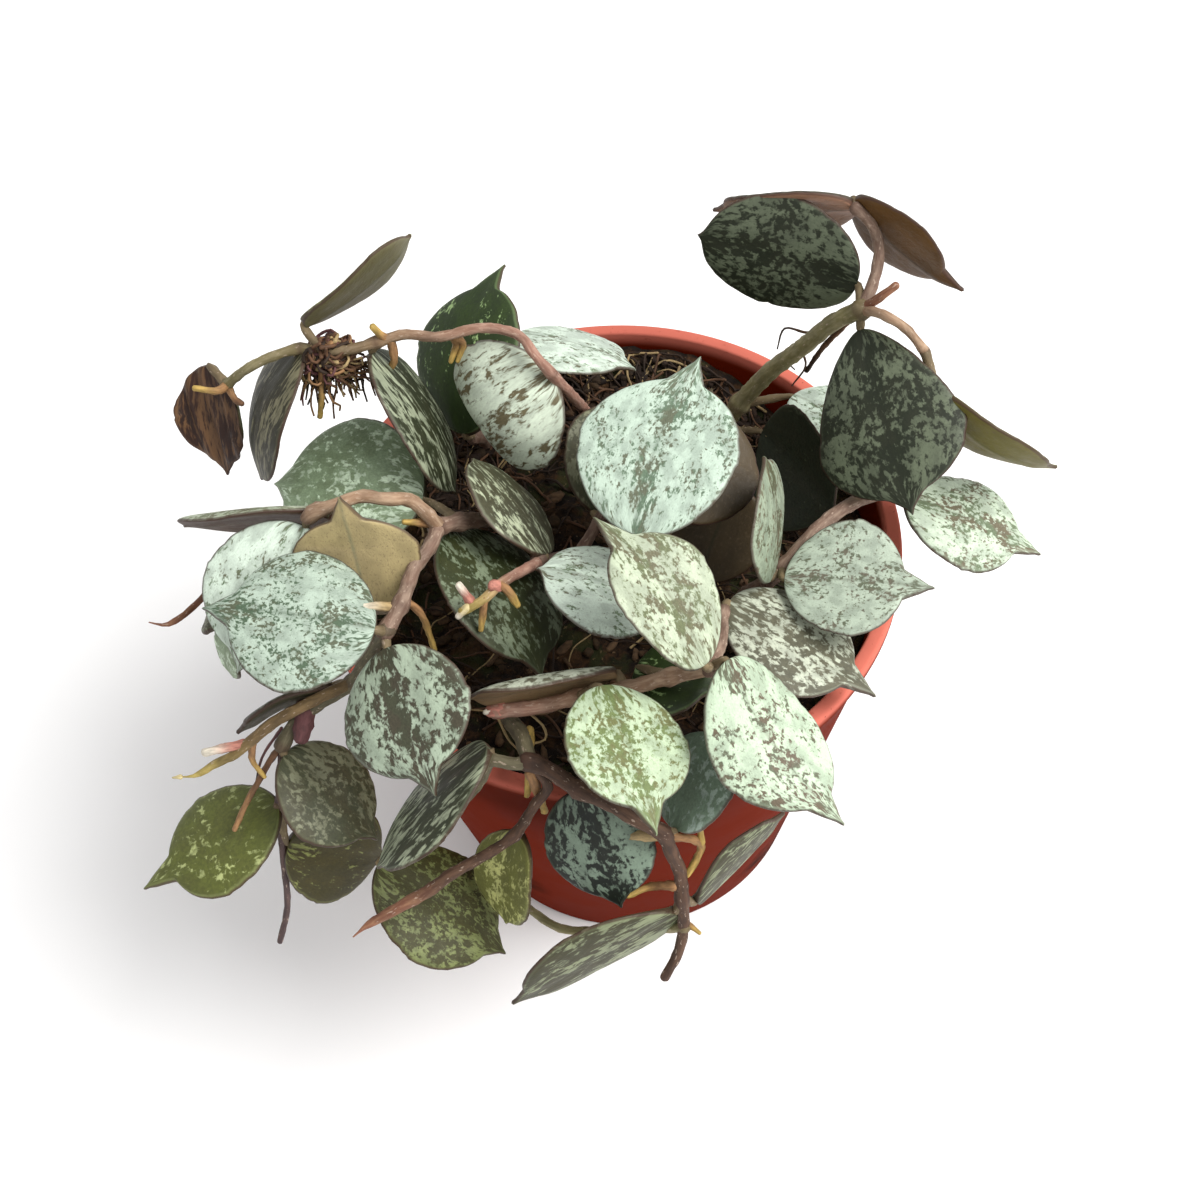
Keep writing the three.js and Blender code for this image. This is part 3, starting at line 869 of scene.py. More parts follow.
@dataclass(frozen=True)
class BarkSkin:
    """The finish of the stems: streaked bark with pale pores and dark rings at the nodes."""

    pore: str = "#c3ae9c"
    pore_scale: Point = (2.6, 2.6, 1.1)
    pore_share: float = 0.45
    ring: str = "#4a3329"
    ring_share: float = 0.55
    streak_scale: Point = (1.5, 1.5, 0.35)
    blotch_scale: float = 0.3
    relief: float = 0.5
    relief_depth: float = 0.2
    gloss: float = 0.35

    def material(self) -> Material:
        """Makes the material, which reads each stem's colours from the mesh.

        Returns:
            The material.
        """
        bench = NodeBench("stem_bark")
        lie = bench.attribute("bark_lie")
        ring = bench.attribute("bark_ring", "Fac")
        streak = bench.noise(bench.stretched(lie, self.streak_scale), 1.0, 4.0, 0.65, 0.4)
        pores = bench.noise(bench.stretched(lie, self.pore_scale), 1.0, 2.0, 0.5)
        blotch = bench.noise(lie, self.blotch_scale, 2.0)
        skin = bench.blended(
            bench.attribute("bark_base", "Color"),
            bench.attribute("bark_pale", "Color"),
            bench.ranged(streak, 0.35, 0.7),
        )
        skin = bench.toned(skin, bench.ranged(blotch, 0.3, 0.7, 0.8, 1.18))
        speck = bench.product(bench.ranged(pores, 0.63, 0.7), self.pore_share)
        skin = bench.blended(skin, linear(self.pore), speck)
        skin = bench.blended(skin, linear(self.ring), bench.product(ring, self.ring_share))
        height = bench.sum(streak, bench.product(pores, 0.5))
        bench.bumped(height, self.relief, self.relief_depth)
        return bench.finished(skin, bench.ranged(streak, 0.3, 0.7, 0.62, 0.78), self.gloss)


@dataclass(frozen=True)
class RootSkin:
    """The finish of roots, spurs, buds and loose fibres."""

    streak_scale: Point = (2.0, 2.0, 0.6)
    relief: float = 0.4
    relief_depth: float = 0.15
    gloss: float = 0.3

    def material(self) -> Material:
        """Makes the material, which reads each root's colour from the mesh.

        Returns:
            The material.
        """
        bench = NodeBench("dry_root")
        lie = bench.attribute("root_lie")
        streak = bench.noise(bench.stretched(lie, self.streak_scale), 1.0, 3.0, 0.6)
        skin = bench.toned(
            bench.attribute("root_tint", "Color"), bench.ranged(streak, 0.3, 0.7, 0.68, 1.25)
        )
        bench.bumped(streak, self.relief, self.relief_depth)
        return bench.finished(skin, bench.ranged(streak, 0.3, 0.7, 0.6, 0.8), self.gloss)


@dataclass(frozen=True)
class PotPlastic:
    """The finish of the pot: thin moulded plastic, dusty and lightly scuffed, with painted light on the
    top of the lip and painted shade on the wall.

    The heights are in metres and the noise scales are clouds for each metre.
    """

    # The lip colour is the plastic lightened as painted light on the lip's top; the wall colour is the
    # same plastic darkened as painted shade.
    lit_lip_colour: str = "#cb6f5f"
    wall: str = "#611a07"
    worn: str = "#74240c"
    worn_share: float = 0.35
    # The dark tone darkens the plastic in clouds, most over the lowest 3 cm, and marks small specks.
    dark_tone: str = "#2a0e05"
    darkening_top: float = 0.03
    darkening_least: float = 0.18
    lip_foot: float = 0.0725
    lip_blur: float = 0.001
    cloud_scale: float = 60.0
    scuff_scale: Point = (500.0, 500.0, 2600.0)
    speck_scale: float = 1400.0
    speck_share: float = 0.5
    relief: float = 0.12
    relief_depth: float = 0.1
    gloss: float = 0.006

    def material(self) -> Material:
        """Makes the material.

        Returns:
            The material.
        """
        bench = NodeBench("moulded_plastic")
        place = bench.place()
        _, _, up = bench.parts(place)
        cloud = bench.noise(place, self.cloud_scale, 4.0, 0.6)
        scuff = bench.noise(bench.stretched(place, self.scuff_scale), 1.0, 3.0, 0.6)
        speck = bench.noise(place, self.speck_scale, 2.0, 0.6)
        worn, dark_tone = linear(self.worn), linear(self.dark_tone)
        faded = bench.product(bench.ranged(cloud, 0.35, 0.7), self.worn_share)
        # The wall colour here is the plastic darkened as painted shade.
        skin = bench.blended(linear(self.wall), worn, faded)
        # Painted light: the top band of the lip takes the lighter colour, as if lit from above.
        lit_lip_mask = bench.ranged(up, self.lip_foot - self.lip_blur, self.lip_foot + self.lip_blur)
        skin = bench.blended(skin, linear(self.lit_lip_colour), lit_lip_mask)
        rubbed = bench.product(bench.ranged(scuff, 0.62, 0.75), self.worn_share)
        skin = bench.blended(skin, worn, rubbed)
        # Darker in clouds all over, and most towards the foot of the pot.
        low = bench.ranged(up, self.darkening_top, 0.0)
        darkening = bench.product(bench.ranged(cloud, 0.5, 0.72), bench.sum(low, self.darkening_least))
        skin = bench.blended(skin, dark_tone, darkening)
        spots = bench.product(bench.ranged(speck, 0.7, 0.76), self.speck_share)
        skin = bench.blended(skin, dark_tone, spots)
        height = bench.sum(bench.product(speck, 0.5), scuff)
        bench.bumped(height, self.relief, self.relief_depth)
        return bench.finished(skin, bench.ranged(cloud, 0.3, 0.7, 0.5, 0.64), self.gloss)


@dataclass(frozen=True)
class MixSkin:
    """The finish of the potting mix: damp peat with paler crumbs and a little moss.

    The noise scales are clouds for each metre.
    """

    damp: str = "#1b130e"
    crumb: str = "#49331f"
    crumb_scale: float = 420.0
    fleck: str = "#8a7356"
    fleck_scale: float = 1300.0
    fleck_share: float = 0.6
    moss: str = "#2f3519"
    moss_scale: float = 160.0
    moss_share: float = 0.75
    relief: float = 0.9
    relief_depth: float = 0.9
    gloss: float = 0.25

    def material(self) -> Material:
        """Makes the material.

        Returns:
            The material.
        """
        bench = NodeBench("peat_mix")
        place = bench.place()
        coarse = bench.noise(place, self.crumb_scale, 5.0, 0.65, 0.4)
        bits = bench.noise(place, self.fleck_scale, 3.0, 0.6)
        mossy = bench.noise(place, self.moss_scale, 3.0, 0.6, 0.5)
        skin = bench.blended(linear(self.damp), linear(self.crumb), bench.ranged(coarse, 0.4, 0.66))
        green = bench.product(bench.ranged(mossy, 0.5, 0.62), self.moss_share)
        skin = bench.blended(skin, linear(self.moss), green)
        pale = bench.product(bench.ranged(bits, 0.64, 0.72), self.fleck_share)
        skin = bench.blended(skin, linear(self.fleck), pale)
        height = bench.sum(coarse, bench.product(bits, 0.4))
        bench.bumped(height, self.relief, self.relief_depth)
        return bench.finished(skin, bench.ranged(coarse, 0.3, 0.7, 0.82, 0.96), self.gloss)


@dataclass(frozen=True)
class ChipSkin:
    """The finish of the bark chips in the mix, whose grain is in clouds for each metre."""

    grain_scale: Point = (900.0, 1500.0, 1500.0)
    relief: float = 0.7
    relief_depth: float = 0.4
    gloss: float = 0.3

    def material(self) -> Material:
        """Makes the material, which reads each chip's colour from the mesh.

        Returns:
            The material.
        """
        bench = NodeBench("bark_chip")
        grain = bench.noise(bench.stretched(bench.place(), self.grain_scale), 1.0, 4.0, 0.65)
        skin = bench.toned(
            bench.attribute("chip_tint", "Color"), bench.ranged(grain, 0.3, 0.7, 0.6, 1.35)
        )
        bench.bumped(grain, self.relief, self.relief_depth)
        return bench.finished(skin, bench.ranged(grain, 0.3, 0.7, 0.75, 0.92), self.gloss)


@dataclass(frozen=True)
class FloorPaint:
    """The pale floor under the plant."""

    colour: str = "#f7f7f8"
    cloud_scale: float = 3.0
    roughness: float = 0.9
    gloss: float = 0.2

    def material(self) -> Material:
        """Makes the material.

        Returns:
            The material.
        """
        bench = NodeBench("pale_floor")
        cloud = bench.noise(bench.place(), self.cloud_scale)
        tone = bench.toned(linear(self.colour)[:3], bench.ranged(cloud, 0.3, 0.7, 0.99, 1.0))
        return bench.finished(tone, self.roughness, self.gloss)


@dataclass(frozen=True)
class TubeForm:
    """A round, slightly uneven shoot with rounded ends.

    Each ring of the dome is a pair of how far out it lies and how far it has closed, as shares of
    the radius. The waves' rates are in radians for each millimetre.
    """

    sides: int = 12
    step: float = 0.9
    wave: float = 0.06
    wave_rate: float = 1.9
    ripple_share: float = 0.7
    ripple_rate: float = 4.3
    lie_shift: float = 9.1
    dome: tuple[Span, ...] = ((0.55, 0.45), (0.9, 0.85))
    pole: float = 0.97

    def frames(self, path: np.ndarray) -> tuple[np.ndarray, np.ndarray]:
        """Carries a pair of side directions along a path without twist.

        Args:
            path: Points of the path.

        Returns:
            The two side directions at each point.
        """
        ahead = np.gradient(path, axis=0)
        ahead /= np.linalg.norm(ahead, axis=1)[:, None]
        start = np.array((1.0, 0, 0)) if abs(ahead[0][0]) < 0.8 else np.array((0, 1.0, 0))
        first = []
        for direction in ahead:
            start = unit(start - direction * (start @ direction))
            first.append(start)
        sides = np.array(first)
        return sides, np.cross(ahead, sides)

    def stations(
        self, path: np.ndarray, radii: np.ndarray
    ) -> tuple[np.ndarray, np.ndarray, np.ndarray, np.ndarray, np.ndarray]:
        """Lists the tube's rings, with those of its two rounded ends.

        Args:
            path: Points of its middle.
            radii: Radius at each point.

        Returns:
            Each ring's middle, radius, two side directions and distance from the start.
        """
        first, second = self.frames(path)
        far = lengths_of(path)
        start, end = unit(path[0] - path[1]), unit(path[-1] - path[-2])
        rows = [
            (path[0] + start * radii[0] * out, radii[0] * (1 - shut * shut) ** 0.5, 0, 0.0)
            for out, shut in reversed(self.dome)
        ]
        rows += [(path[i], radii[i], i, far[i]) for i in range(len(path))]
        rows += [
            (path[-1] + end * radii[-1] * out, radii[-1] * (1 - shut * shut) ** 0.5, -1, far[-1])
            for out, shut in self.dome
        ]
        middle, size, place, mark = (np.array(column) for column in zip(*rows))
        return middle, size, first[place], second[place], mark

    def mesh(
        self, path: np.ndarray, radii: np.ndarray, phase: float
    ) -> tuple[np.ndarray, list[Face], np.ndarray, np.ndarray]:
        """Sweeps the tube.

        Args:
            path: Points of its middle, in millimetres.
            radii: Radius at each point.
            phase: Shifts the unevenness, so that no two shoots are alike.

        Returns:
            The points, the faces, each point's lie on the skin and its distance from the start.
        """
        middle, size, first, second, mark = self.stations(path, radii)
        angle = 2 * np.pi * np.arange(self.sides) / self.sides
        broad = np.sin(self.wave_rate * mark[:, None] + 2 * angle + phase)
        ripple = np.sin(self.ripple_rate * mark[:, None] - 3 * angle + 2.3 * phase)
        reach = size[:, None] * (1 + self.wave * broad + self.ripple_share * self.wave * ripple)
        one, two = reach * np.cos(angle), reach * np.sin(angle)
        aside = one[..., None] * first[:, None] + two[..., None] * second[:, None]
        shift = self.lie_shift * phase
        lie = np.stack([one + shift, two, np.broadcast_to(mark[:, None], reach.shape)], axis=-1)
        start, end = unit(path[0] - path[1]), unit(path[-1] - path[-2])
        poles = np.array(
            [path[0] + start * radii[0] * self.pole, path[-1] + end * radii[-1] * self.pole]
        )
        pole_lie = np.array([[shift, 0, 0], [shift, 0, mark[-1]]])
        every = np.concatenate([np.repeat(mark, self.sides), [0, mark[-1]]])
        return (
            np.vstack([(middle[:, None] + aside).reshape(-1, 3), poles]),
            closed_faces(self.sides, len(middle)),
            np.vstack([lie.reshape(-1, 3), pole_lie]),
            every[:, None],
        )


@dataclass(frozen=True)
class BladeGrid:
    """Where the points of one blade lie on it, in rows along it and columns around it.

    Along is a share of the length, out a share of the half width and half the outline there. Face
    is 1 above, -1 below and 0 on the margin. The seed sets the blade apart from the others.
    """

    leaf: Leaf
    length: float
    along: np.ndarray
    out: np.ndarray
    face: np.ndarray
    half: np.ndarray
    seed: float


@dataclass(frozen=True)
class BladeForm:
    """The form that every leaf blade shares: broad, with a short narrow point.

    Sizes are in millimetres. The nibbles' rates are in radians for the whole leaf, and the
    crumple's are in radians for each millimetre across and for the whole leaf.
    """

    body_roundness: float = 1.9
    point_width: float = 0.22
    point_curve: float = 1.4
    thickness: float = 1.4
    margin_thickness: float = 0.9
    margin_squareness: float = 9
    end_thickness: float = 0.45
    end_half_width: float = 0.55
    end_narrow: float = 0.25
    end_cap: float = 0.25
    hook_start: float = 0.72
    rows: int = 46
    columns: int = 21
    samples: int = 400
    groove: float = 0.22
    groove_width: float = 1.0
    ripple: float = 0.22
    nibble: float = 0.16
    nibble_rates: Span = (31, 17)
    crumple: float = 0.5
    crumple_rates: Span = (2.1, 5)
    lie_shift: float = 3.7
    lie_below: float = 5

    def outline(self, leaf: Leaf, s: np.ndarray) -> np.ndarray:
        """Gives the half width along the midrib, about 1 at its widest.

        Args:
            leaf: The leaf.
            s: Fractions of the midrib's length.

        Returns:
            The half width at each.
        """
        before = np.clip((leaf.widest - s) / leaf.widest, 0, 1)
        after = np.clip((s - leaf.widest) / (1 - leaf.point - leaf.widest), 0, 1)
        foot = (1 - before**leaf.foot) ** (1 / leaf.foot)
        body = (1 - after**self.body_roundness) ** (1 / self.body_roundness)
        tip = self.point_width * np.clip((1 - s) / leaf.point, 0, 1) ** self.point_curve
        return np.where(s < leaf.widest, foot, np.hypot(body, tip))

    def stations(self, leaf: Leaf, length: float) -> np.ndarray:
        """Spaces the rows of a leaf evenly along its margin.

        Args:
            leaf: The leaf.
            length: Length of its midrib.

        Returns:
            Fractions of the midrib's length.
        """
        s = (1 - np.cos(np.pi * np.linspace(0, 1, self.samples))) / 2
        margin = np.stack([length * s, leaf.width / 2 * self.outline(leaf, s)], axis=1)
        far = lengths_of(margin)
        return np.interp(np.linspace(0, far[-1], self.rows), far, s)

    def mesh(
        self, leaf: Leaf, seed: float
    ) -> tuple[np.ndarray, list[Face], dict[str, np.ndarray]]:
        """Builds one blade with its values for the finish.

        Args:
            leaf: The leaf.
            seed: Sets its ripples and its flecks apart from those of other leaves.

        Returns:
            The points in millimetres, the faces, and the lie and place of each point.
        """
        base = np.array(leaf.base, float)
        span = np.array(leaf.tip, float) - base
        length = float(np.linalg.norm(span))
        ahead = span / length
        face_up = unit(UP - ahead * (UP @ ahead))
        normal = turned_about(face_up, ahead, leaf.turn)
        side = np.cross(ahead, normal)

        grid = self.grid(leaf, length, seed)
        along, face = grid.along, grid.face
        across = self.across(grid)
        height = self.rise(grid, across) + face * self.thick(grid) / 2
        points = (
            base
            + ahead * (length * along)[..., None]
            + side * (across + leaf.sway * 4 * along * (1 - along))[..., None]
            + normal * height[..., None]
        )
        inward = (1 - np.abs(grid.out)) * (self.end_half_width + leaf.width / 2 * grid.half)
        place = np.stack(np.broadcast_arrays(across, inward, face), axis=-1)
        lie = self.lie(grid)
        cap = points[-1].mean(axis=0) + ahead * self.end_cap
        on_rib = self.columns // 2
        return (
            np.vstack([points.reshape(-1, 3), [points[0].mean(axis=0), cap]]),
            closed_faces(face.shape[1], self.rows),
            {
                "leaf_lie": np.vstack([lie.reshape(-1, 3), lie[[0, -1], on_rib]]),
                "leaf_place": np.vstack([place.reshape(-1, 3), place[[0, -1], on_rib]]),
            },
        )

    def grid(self, leaf: Leaf, length: float, seed: float) -> BladeGrid:
        """Lays out the points of a blade.

        Args:
            leaf: The leaf.
            length: Length of its midrib.
            seed: Sets it apart.

        Returns:
            The grid, with its upper face first in each row.
        """
        along = self.stations(leaf, length)[:, None]
        upper = np.sin(np.linspace(-np.pi / 2, np.pi / 2, self.columns))
        out = np.concatenate([upper, upper[-2:0:-1]])[None, :]
        face = np.ones(out.shape)
        face[:, self.columns :] = -1
        face[:, [0, self.columns - 1]] = 0
        return BladeGrid(leaf, length, along, out, face, self.outline(leaf, along), seed)

    def across(self, grid: BladeGrid) -> np.ndarray:
        """Places the points across the blade, with a slightly nibbled margin.

        Args:
            grid: The blade's grid.

        Returns:
            The distance of each point from the midrib.
        """
        along, out, half, seed = grid.along, grid.out, grid.half, grid.seed
        point_end = smooth(along, 1.0, 0.9) * (1 - self.end_narrow) + self.end_narrow
        body = grid.leaf.width / 2 - self.end_half_width
        reach = self.end_half_width * point_end + body * half
        quick, slow = self.nibble_rates
        bite = np.sin(quick * along + 2.1 * seed) * np.sin(slow * along - seed) * np.sign(out)
        return out * (reach - self.nibble * np.abs(bite) * half * (1 + 0.5 * bite))

    def thick(self, grid: BladeGrid) -> np.ndarray:
        """Thins the blade towards its margins and its point.

        Args:
            grid: The blade's grid.

        Returns:
            The thickness at each point.
        """
        middle = self.thickness + (self.margin_thickness - self.thickness) * grid.out**2
        rounded = np.sqrt(np.clip(1 - np.abs(grid.out) ** self.margin_squareness, 0, 1))
        at_end = self.end_thickness + (1 - self.end_thickness) * smooth(grid.along, 1.0, 0.8)
        return middle * rounded * at_end

    def rise(self, grid: BladeGrid, across: np.ndarray) -> np.ndarray:
        """Lifts the points off the flat: the arch, cup, hook, midrib's groove and ripples.

        Args:
            grid: The blade's grid.
            across: Distance of each point from the midrib.

        Returns:
            The height of each point over the flat.
        """
        leaf, along, out, half = grid.leaf, grid.along, grid.out, grid.half
        hook = np.clip((along - self.hook_start) / (1 - self.hook_start), 0, 1) ** 2
        rise = leaf.arch * 4 * along * (1 - along) + leaf.cup * (out * half) ** 2 + leaf.hook * hook
        rib = np.exp(-((across / self.groove_width) ** 2)) * smooth(along, 1.0, 0.8)
        turns = 1.3 * along + 0.37 * grid.seed
        wave = np.sin(2 * np.pi * turns + 1.2 * np.sign(out)) * out**2 * half
        rise = rise - self.groove * rib + self.ripple * wave
        if leaf.look is Look.DEAD:
            aside, ahead = self.crumple_rates
            rise = rise + self.crumple * np.sin(aside * across + ahead * along) * half
        return rise

    def lie(self, grid: BladeGrid) -> np.ndarray:
        """Spreads the leaf's pattern over its two faces.

        Args:
            grid: The blade's grid.

        Returns:
            The place of each point in the pattern.
        """
        along, pattern = grid.along, grid.leaf.look.value
        lateral = grid.out * grid.leaf.width / 2 * (0.3 + 0.7 * grid.half)
        lengthwise = grid.length * (0.45 * along + 0.55 * (1 - np.cos(np.pi * along)) / 2)
        layers = (
            lateral / pattern.fleck,
            lengthwise / (pattern.fleck * pattern.streak),
            self.lie_shift * grid.seed + self.lie_below * (grid.face < 0),
        )
        return np.stack(np.broadcast_arrays(*layers), axis=-1)


@dataclass(frozen=True)
class Finishes:
    """The materials that the vines share."""

    leaf: Material
    bark: Material
    root: Material


@dataclass(frozen=True)
class Vine:
    """One vine: its stems, leaves and aerial roots, which together stand for one CAD node."""

    node: str
    stems: dict[str, Stem]
    leaves: tuple[Leaf, ...]
    roots: tuple[Root, ...] = ()
    tangle: Tangle | None = None
    blade: BladeForm = BladeForm()
    tube: TubeForm = TubeForm()
    thread: TubeForm = TubeForm(sides=7, step=0.7, wave=0.1)
    swelling: float = 0.3
    swelling_reach: float = 1.0
    ring_reach: float = 0.4
    taper: float = 4.0
    taper_end: float = 0.2
    stalk_radius: float = 0.7
    stalk_sink: float = 0.9
    stalk_step: float = 0.6
    stem_phase: float = 0.61
    stalk_phase: float = 0.37
    root_phase: float = 0.47

    def build_leaves(self, finishes: Finishes, seed: int) -> Object:
        """Builds the vine's leaf blades as one piece.

        Args:
            finishes: The shared materials.
            seed: Number of the vine.

        Returns:
            The piece.
        """
        shape = Shape()
        for i, leaf in enumerate(self.leaves):
            points, faces, values = self.blade.mesh(leaf, seed * 13 + i)
            pattern = leaf.look.value
            shape.add(
                points,
                faces,
                **values,
                leaf_silver=np.array(linear(pattern.silver)),
                leaf_ground=np.array(linear(pattern.ground)),
                leaf_second=np.array(linear(pattern.second)),
                leaf_under=np.array(linear(leaf.under.value)),
                leaf_habit=np.array((pattern.cover, pattern.rib, pattern.edge)),
            )
        return shape.built(f"{self.node}_leaves", finishes.leaf)

    def build_stems(self, finishes: Finishes, seed: int) -> Object:
        """Builds the vine's stems and leaf stalks as one piece.

        Args:
            finishes: The shared materials.
            seed: Number of the vine.

        Returns:
            The piece.
        """
        shape = Shape()
        for i, (name, stem) in enumerate(self.stems.items()):
            dense = curved(stem.route)
            path, far = stepped(dense, self.tube.step)
            grown = {leaf.at for leaf in self.leaves if leaf.on == name}
            grown |= {0} if name != "trunk" else set()
            span = (len(dense) - 1) // (len(stem.route) - 1)
            nodes = lengths_of(dense)[[at * span for at in sorted(grown)]]
            near = np.exp(-(((far[:, None] - nodes) / self.swelling_reach) ** 2)).sum(axis=1)
            radii = np.interp(far / far[-1], np.linspace(0, 1, len(stem.radii)), stem.radii)
            radii = radii * (1 + self.swelling * np.minimum(near, 1))
            if stem.pointed:
                left = smooth(far[-1] - far, 0.0, self.taper)
                radii = radii * (self.taper_end + (1 - self.taper_end) * left)
            phase = seed + self.stem_phase * i
            self.add_shoot(shape, path, radii, stem.bark, stem.last, phase, nodes)
        for i, leaf in enumerate(self.leaves):
            node = self.stems[leaf.on].route[leaf.at]
            ahead = unit(np.array(leaf.tip, float) - np.array(leaf.base, float))
            end = tuple(np.array(leaf.base) + ahead * self.stalk_sink)
            path, far = stepped(curved((node, leaf.base, end)), self.stalk_step)
            radii = self.stalk_radii(far / far[-1])
            phase = seed + self.stalk_phase * i
            self.add_shoot(shape, path, radii, Bark.STALK, None, phase, np.array([0.0]))
        return shape.built(f"{self.node}_stems", finishes.bark)

    def stalk_radii(self, share: np.ndarray) -> np.ndarray:
        """Returns a stalk's radii, widest at the stem and thinnest where it enters the blade."""
        return self.stalk_radius * (0.9 + 0.25 * (1 - share) ** 3 - 0.42 * smooth(share, 0.55, 1))

    def add_shoot(
        self,
        shape: Shape,
        path: np.ndarray,
        radii: np.ndarray,
        bark: Bark,
        last: Bark | None,
        phase: float,
        nodes: np.ndarray,
    ) -> None:
        """Adds one stem or stalk to a shape.

        Args:
            shape: The shape that takes it.
            path: Points of its middle.
            radii: Radius at each point.
            bark: Its skin.
            last: The skin at its end, where that differs.
            phase: Sets its unevenness apart.
            nodes: Distances along it where rings show.
        """
        points, faces, lie, mark = self.tube.mesh(path, radii, phase)
        rings = np.zeros((len(mark), 1))
        if len(nodes):
            rings = np.exp(-(((mark - nodes) / self.ring_reach) ** 2))
        turned = smooth(mark / mark.max(), 0.5, 1.0)
        base, pale = np.array([linear(code) for code in bark.value])
        base_end, pale_end = np.array([linear(code) for code in (last or bark).value])
        shape.add(
            points,
            faces,
            bark_lie=lie,
            bark_ring=rings.max(axis=1)[:, None],
            bark_base=base + (base_end - base) * turned,
            bark_pale=pale + (pale_end - pale) * turned,
        )

    def build_roots(self, finishes: Finishes, seed: int) -> Object:
        """Builds the vine's aerial roots, and its clump of dry ones, as one piece.

        Args:
            finishes: The shared materials.
            seed: Number of the vine.

        Returns:
            The piece.
        """
        shape = Shape()
        for i, root in enumerate(self.roots):
            path, far = stepped(curved(root.route), self.thread.step)
            radii = np.interp(far / far[-1], (0, 1), root.radii)
            phase = seed + self.root_phase * i
            self.add_thread(shape, path, radii, (root.tint, root.last), phase)
        if self.tangle:
            self.add_tangle(shape, self.tangle, np.random.default_rng(seed))
        return shape.built(f"{self.node}_roots", finishes.root)

    def add_thread(
        self,
        shape: Shape,
        path: np.ndarray,
        radii: np.ndarray,
        tints: tuple[Tint, Tint],
        phase: float,
    ) -> None:
        """Adds one root or fibre to a shape.

        Args:
            shape: The shape that takes it.
            path: Points of its middle.
            radii: Radius at each point.
            tints: Its colours at its start and at its end.
            phase: Sets its unevenness apart.
        """
        points, faces, lie, mark = self.thread.mesh(path, radii, phase)
        first, last = (np.array(linear(tint.value)) for tint in tints)
        turned = smooth(mark / mark.max(), 0.3, 1.0)
        shape.add(points, faces, root_lie=lie, root_tint=first + (last - first) * turned)

    def add_tangle(self, shape: Shape, tangle: Tangle, draw: np.random.Generator) -> None:
        """Adds a clump of dry roots to a shape.

        Args:
            shape: The shape that takes it.
            tangle: Where the clump hangs and how far it spreads.
            draw: Source of the random draws.
        """
        for i in range(tangle.strands):
            path, radii = tangle.strand(draw)
            tint = tangle.tints[i % len(tangle.tints)]
            self.add_thread(shape, path, radii, (tint, tint), tangle.phase * i)

    def dress(self, finishes: Finishes, seed: int) -> None:
        """Builds every piece of the vine and hides the solid that they stand for.

        Args:
            finishes: The shared materials.
            seed: Number of the vine.
        """
        pieces = [self.build_leaves(finishes, seed), self.build_stems(finishes, seed)]
        if self.roots or self.tangle:
            pieces.append(self.build_roots(finishes, seed))
        for piece in pieces:
            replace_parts(piece, self.node)


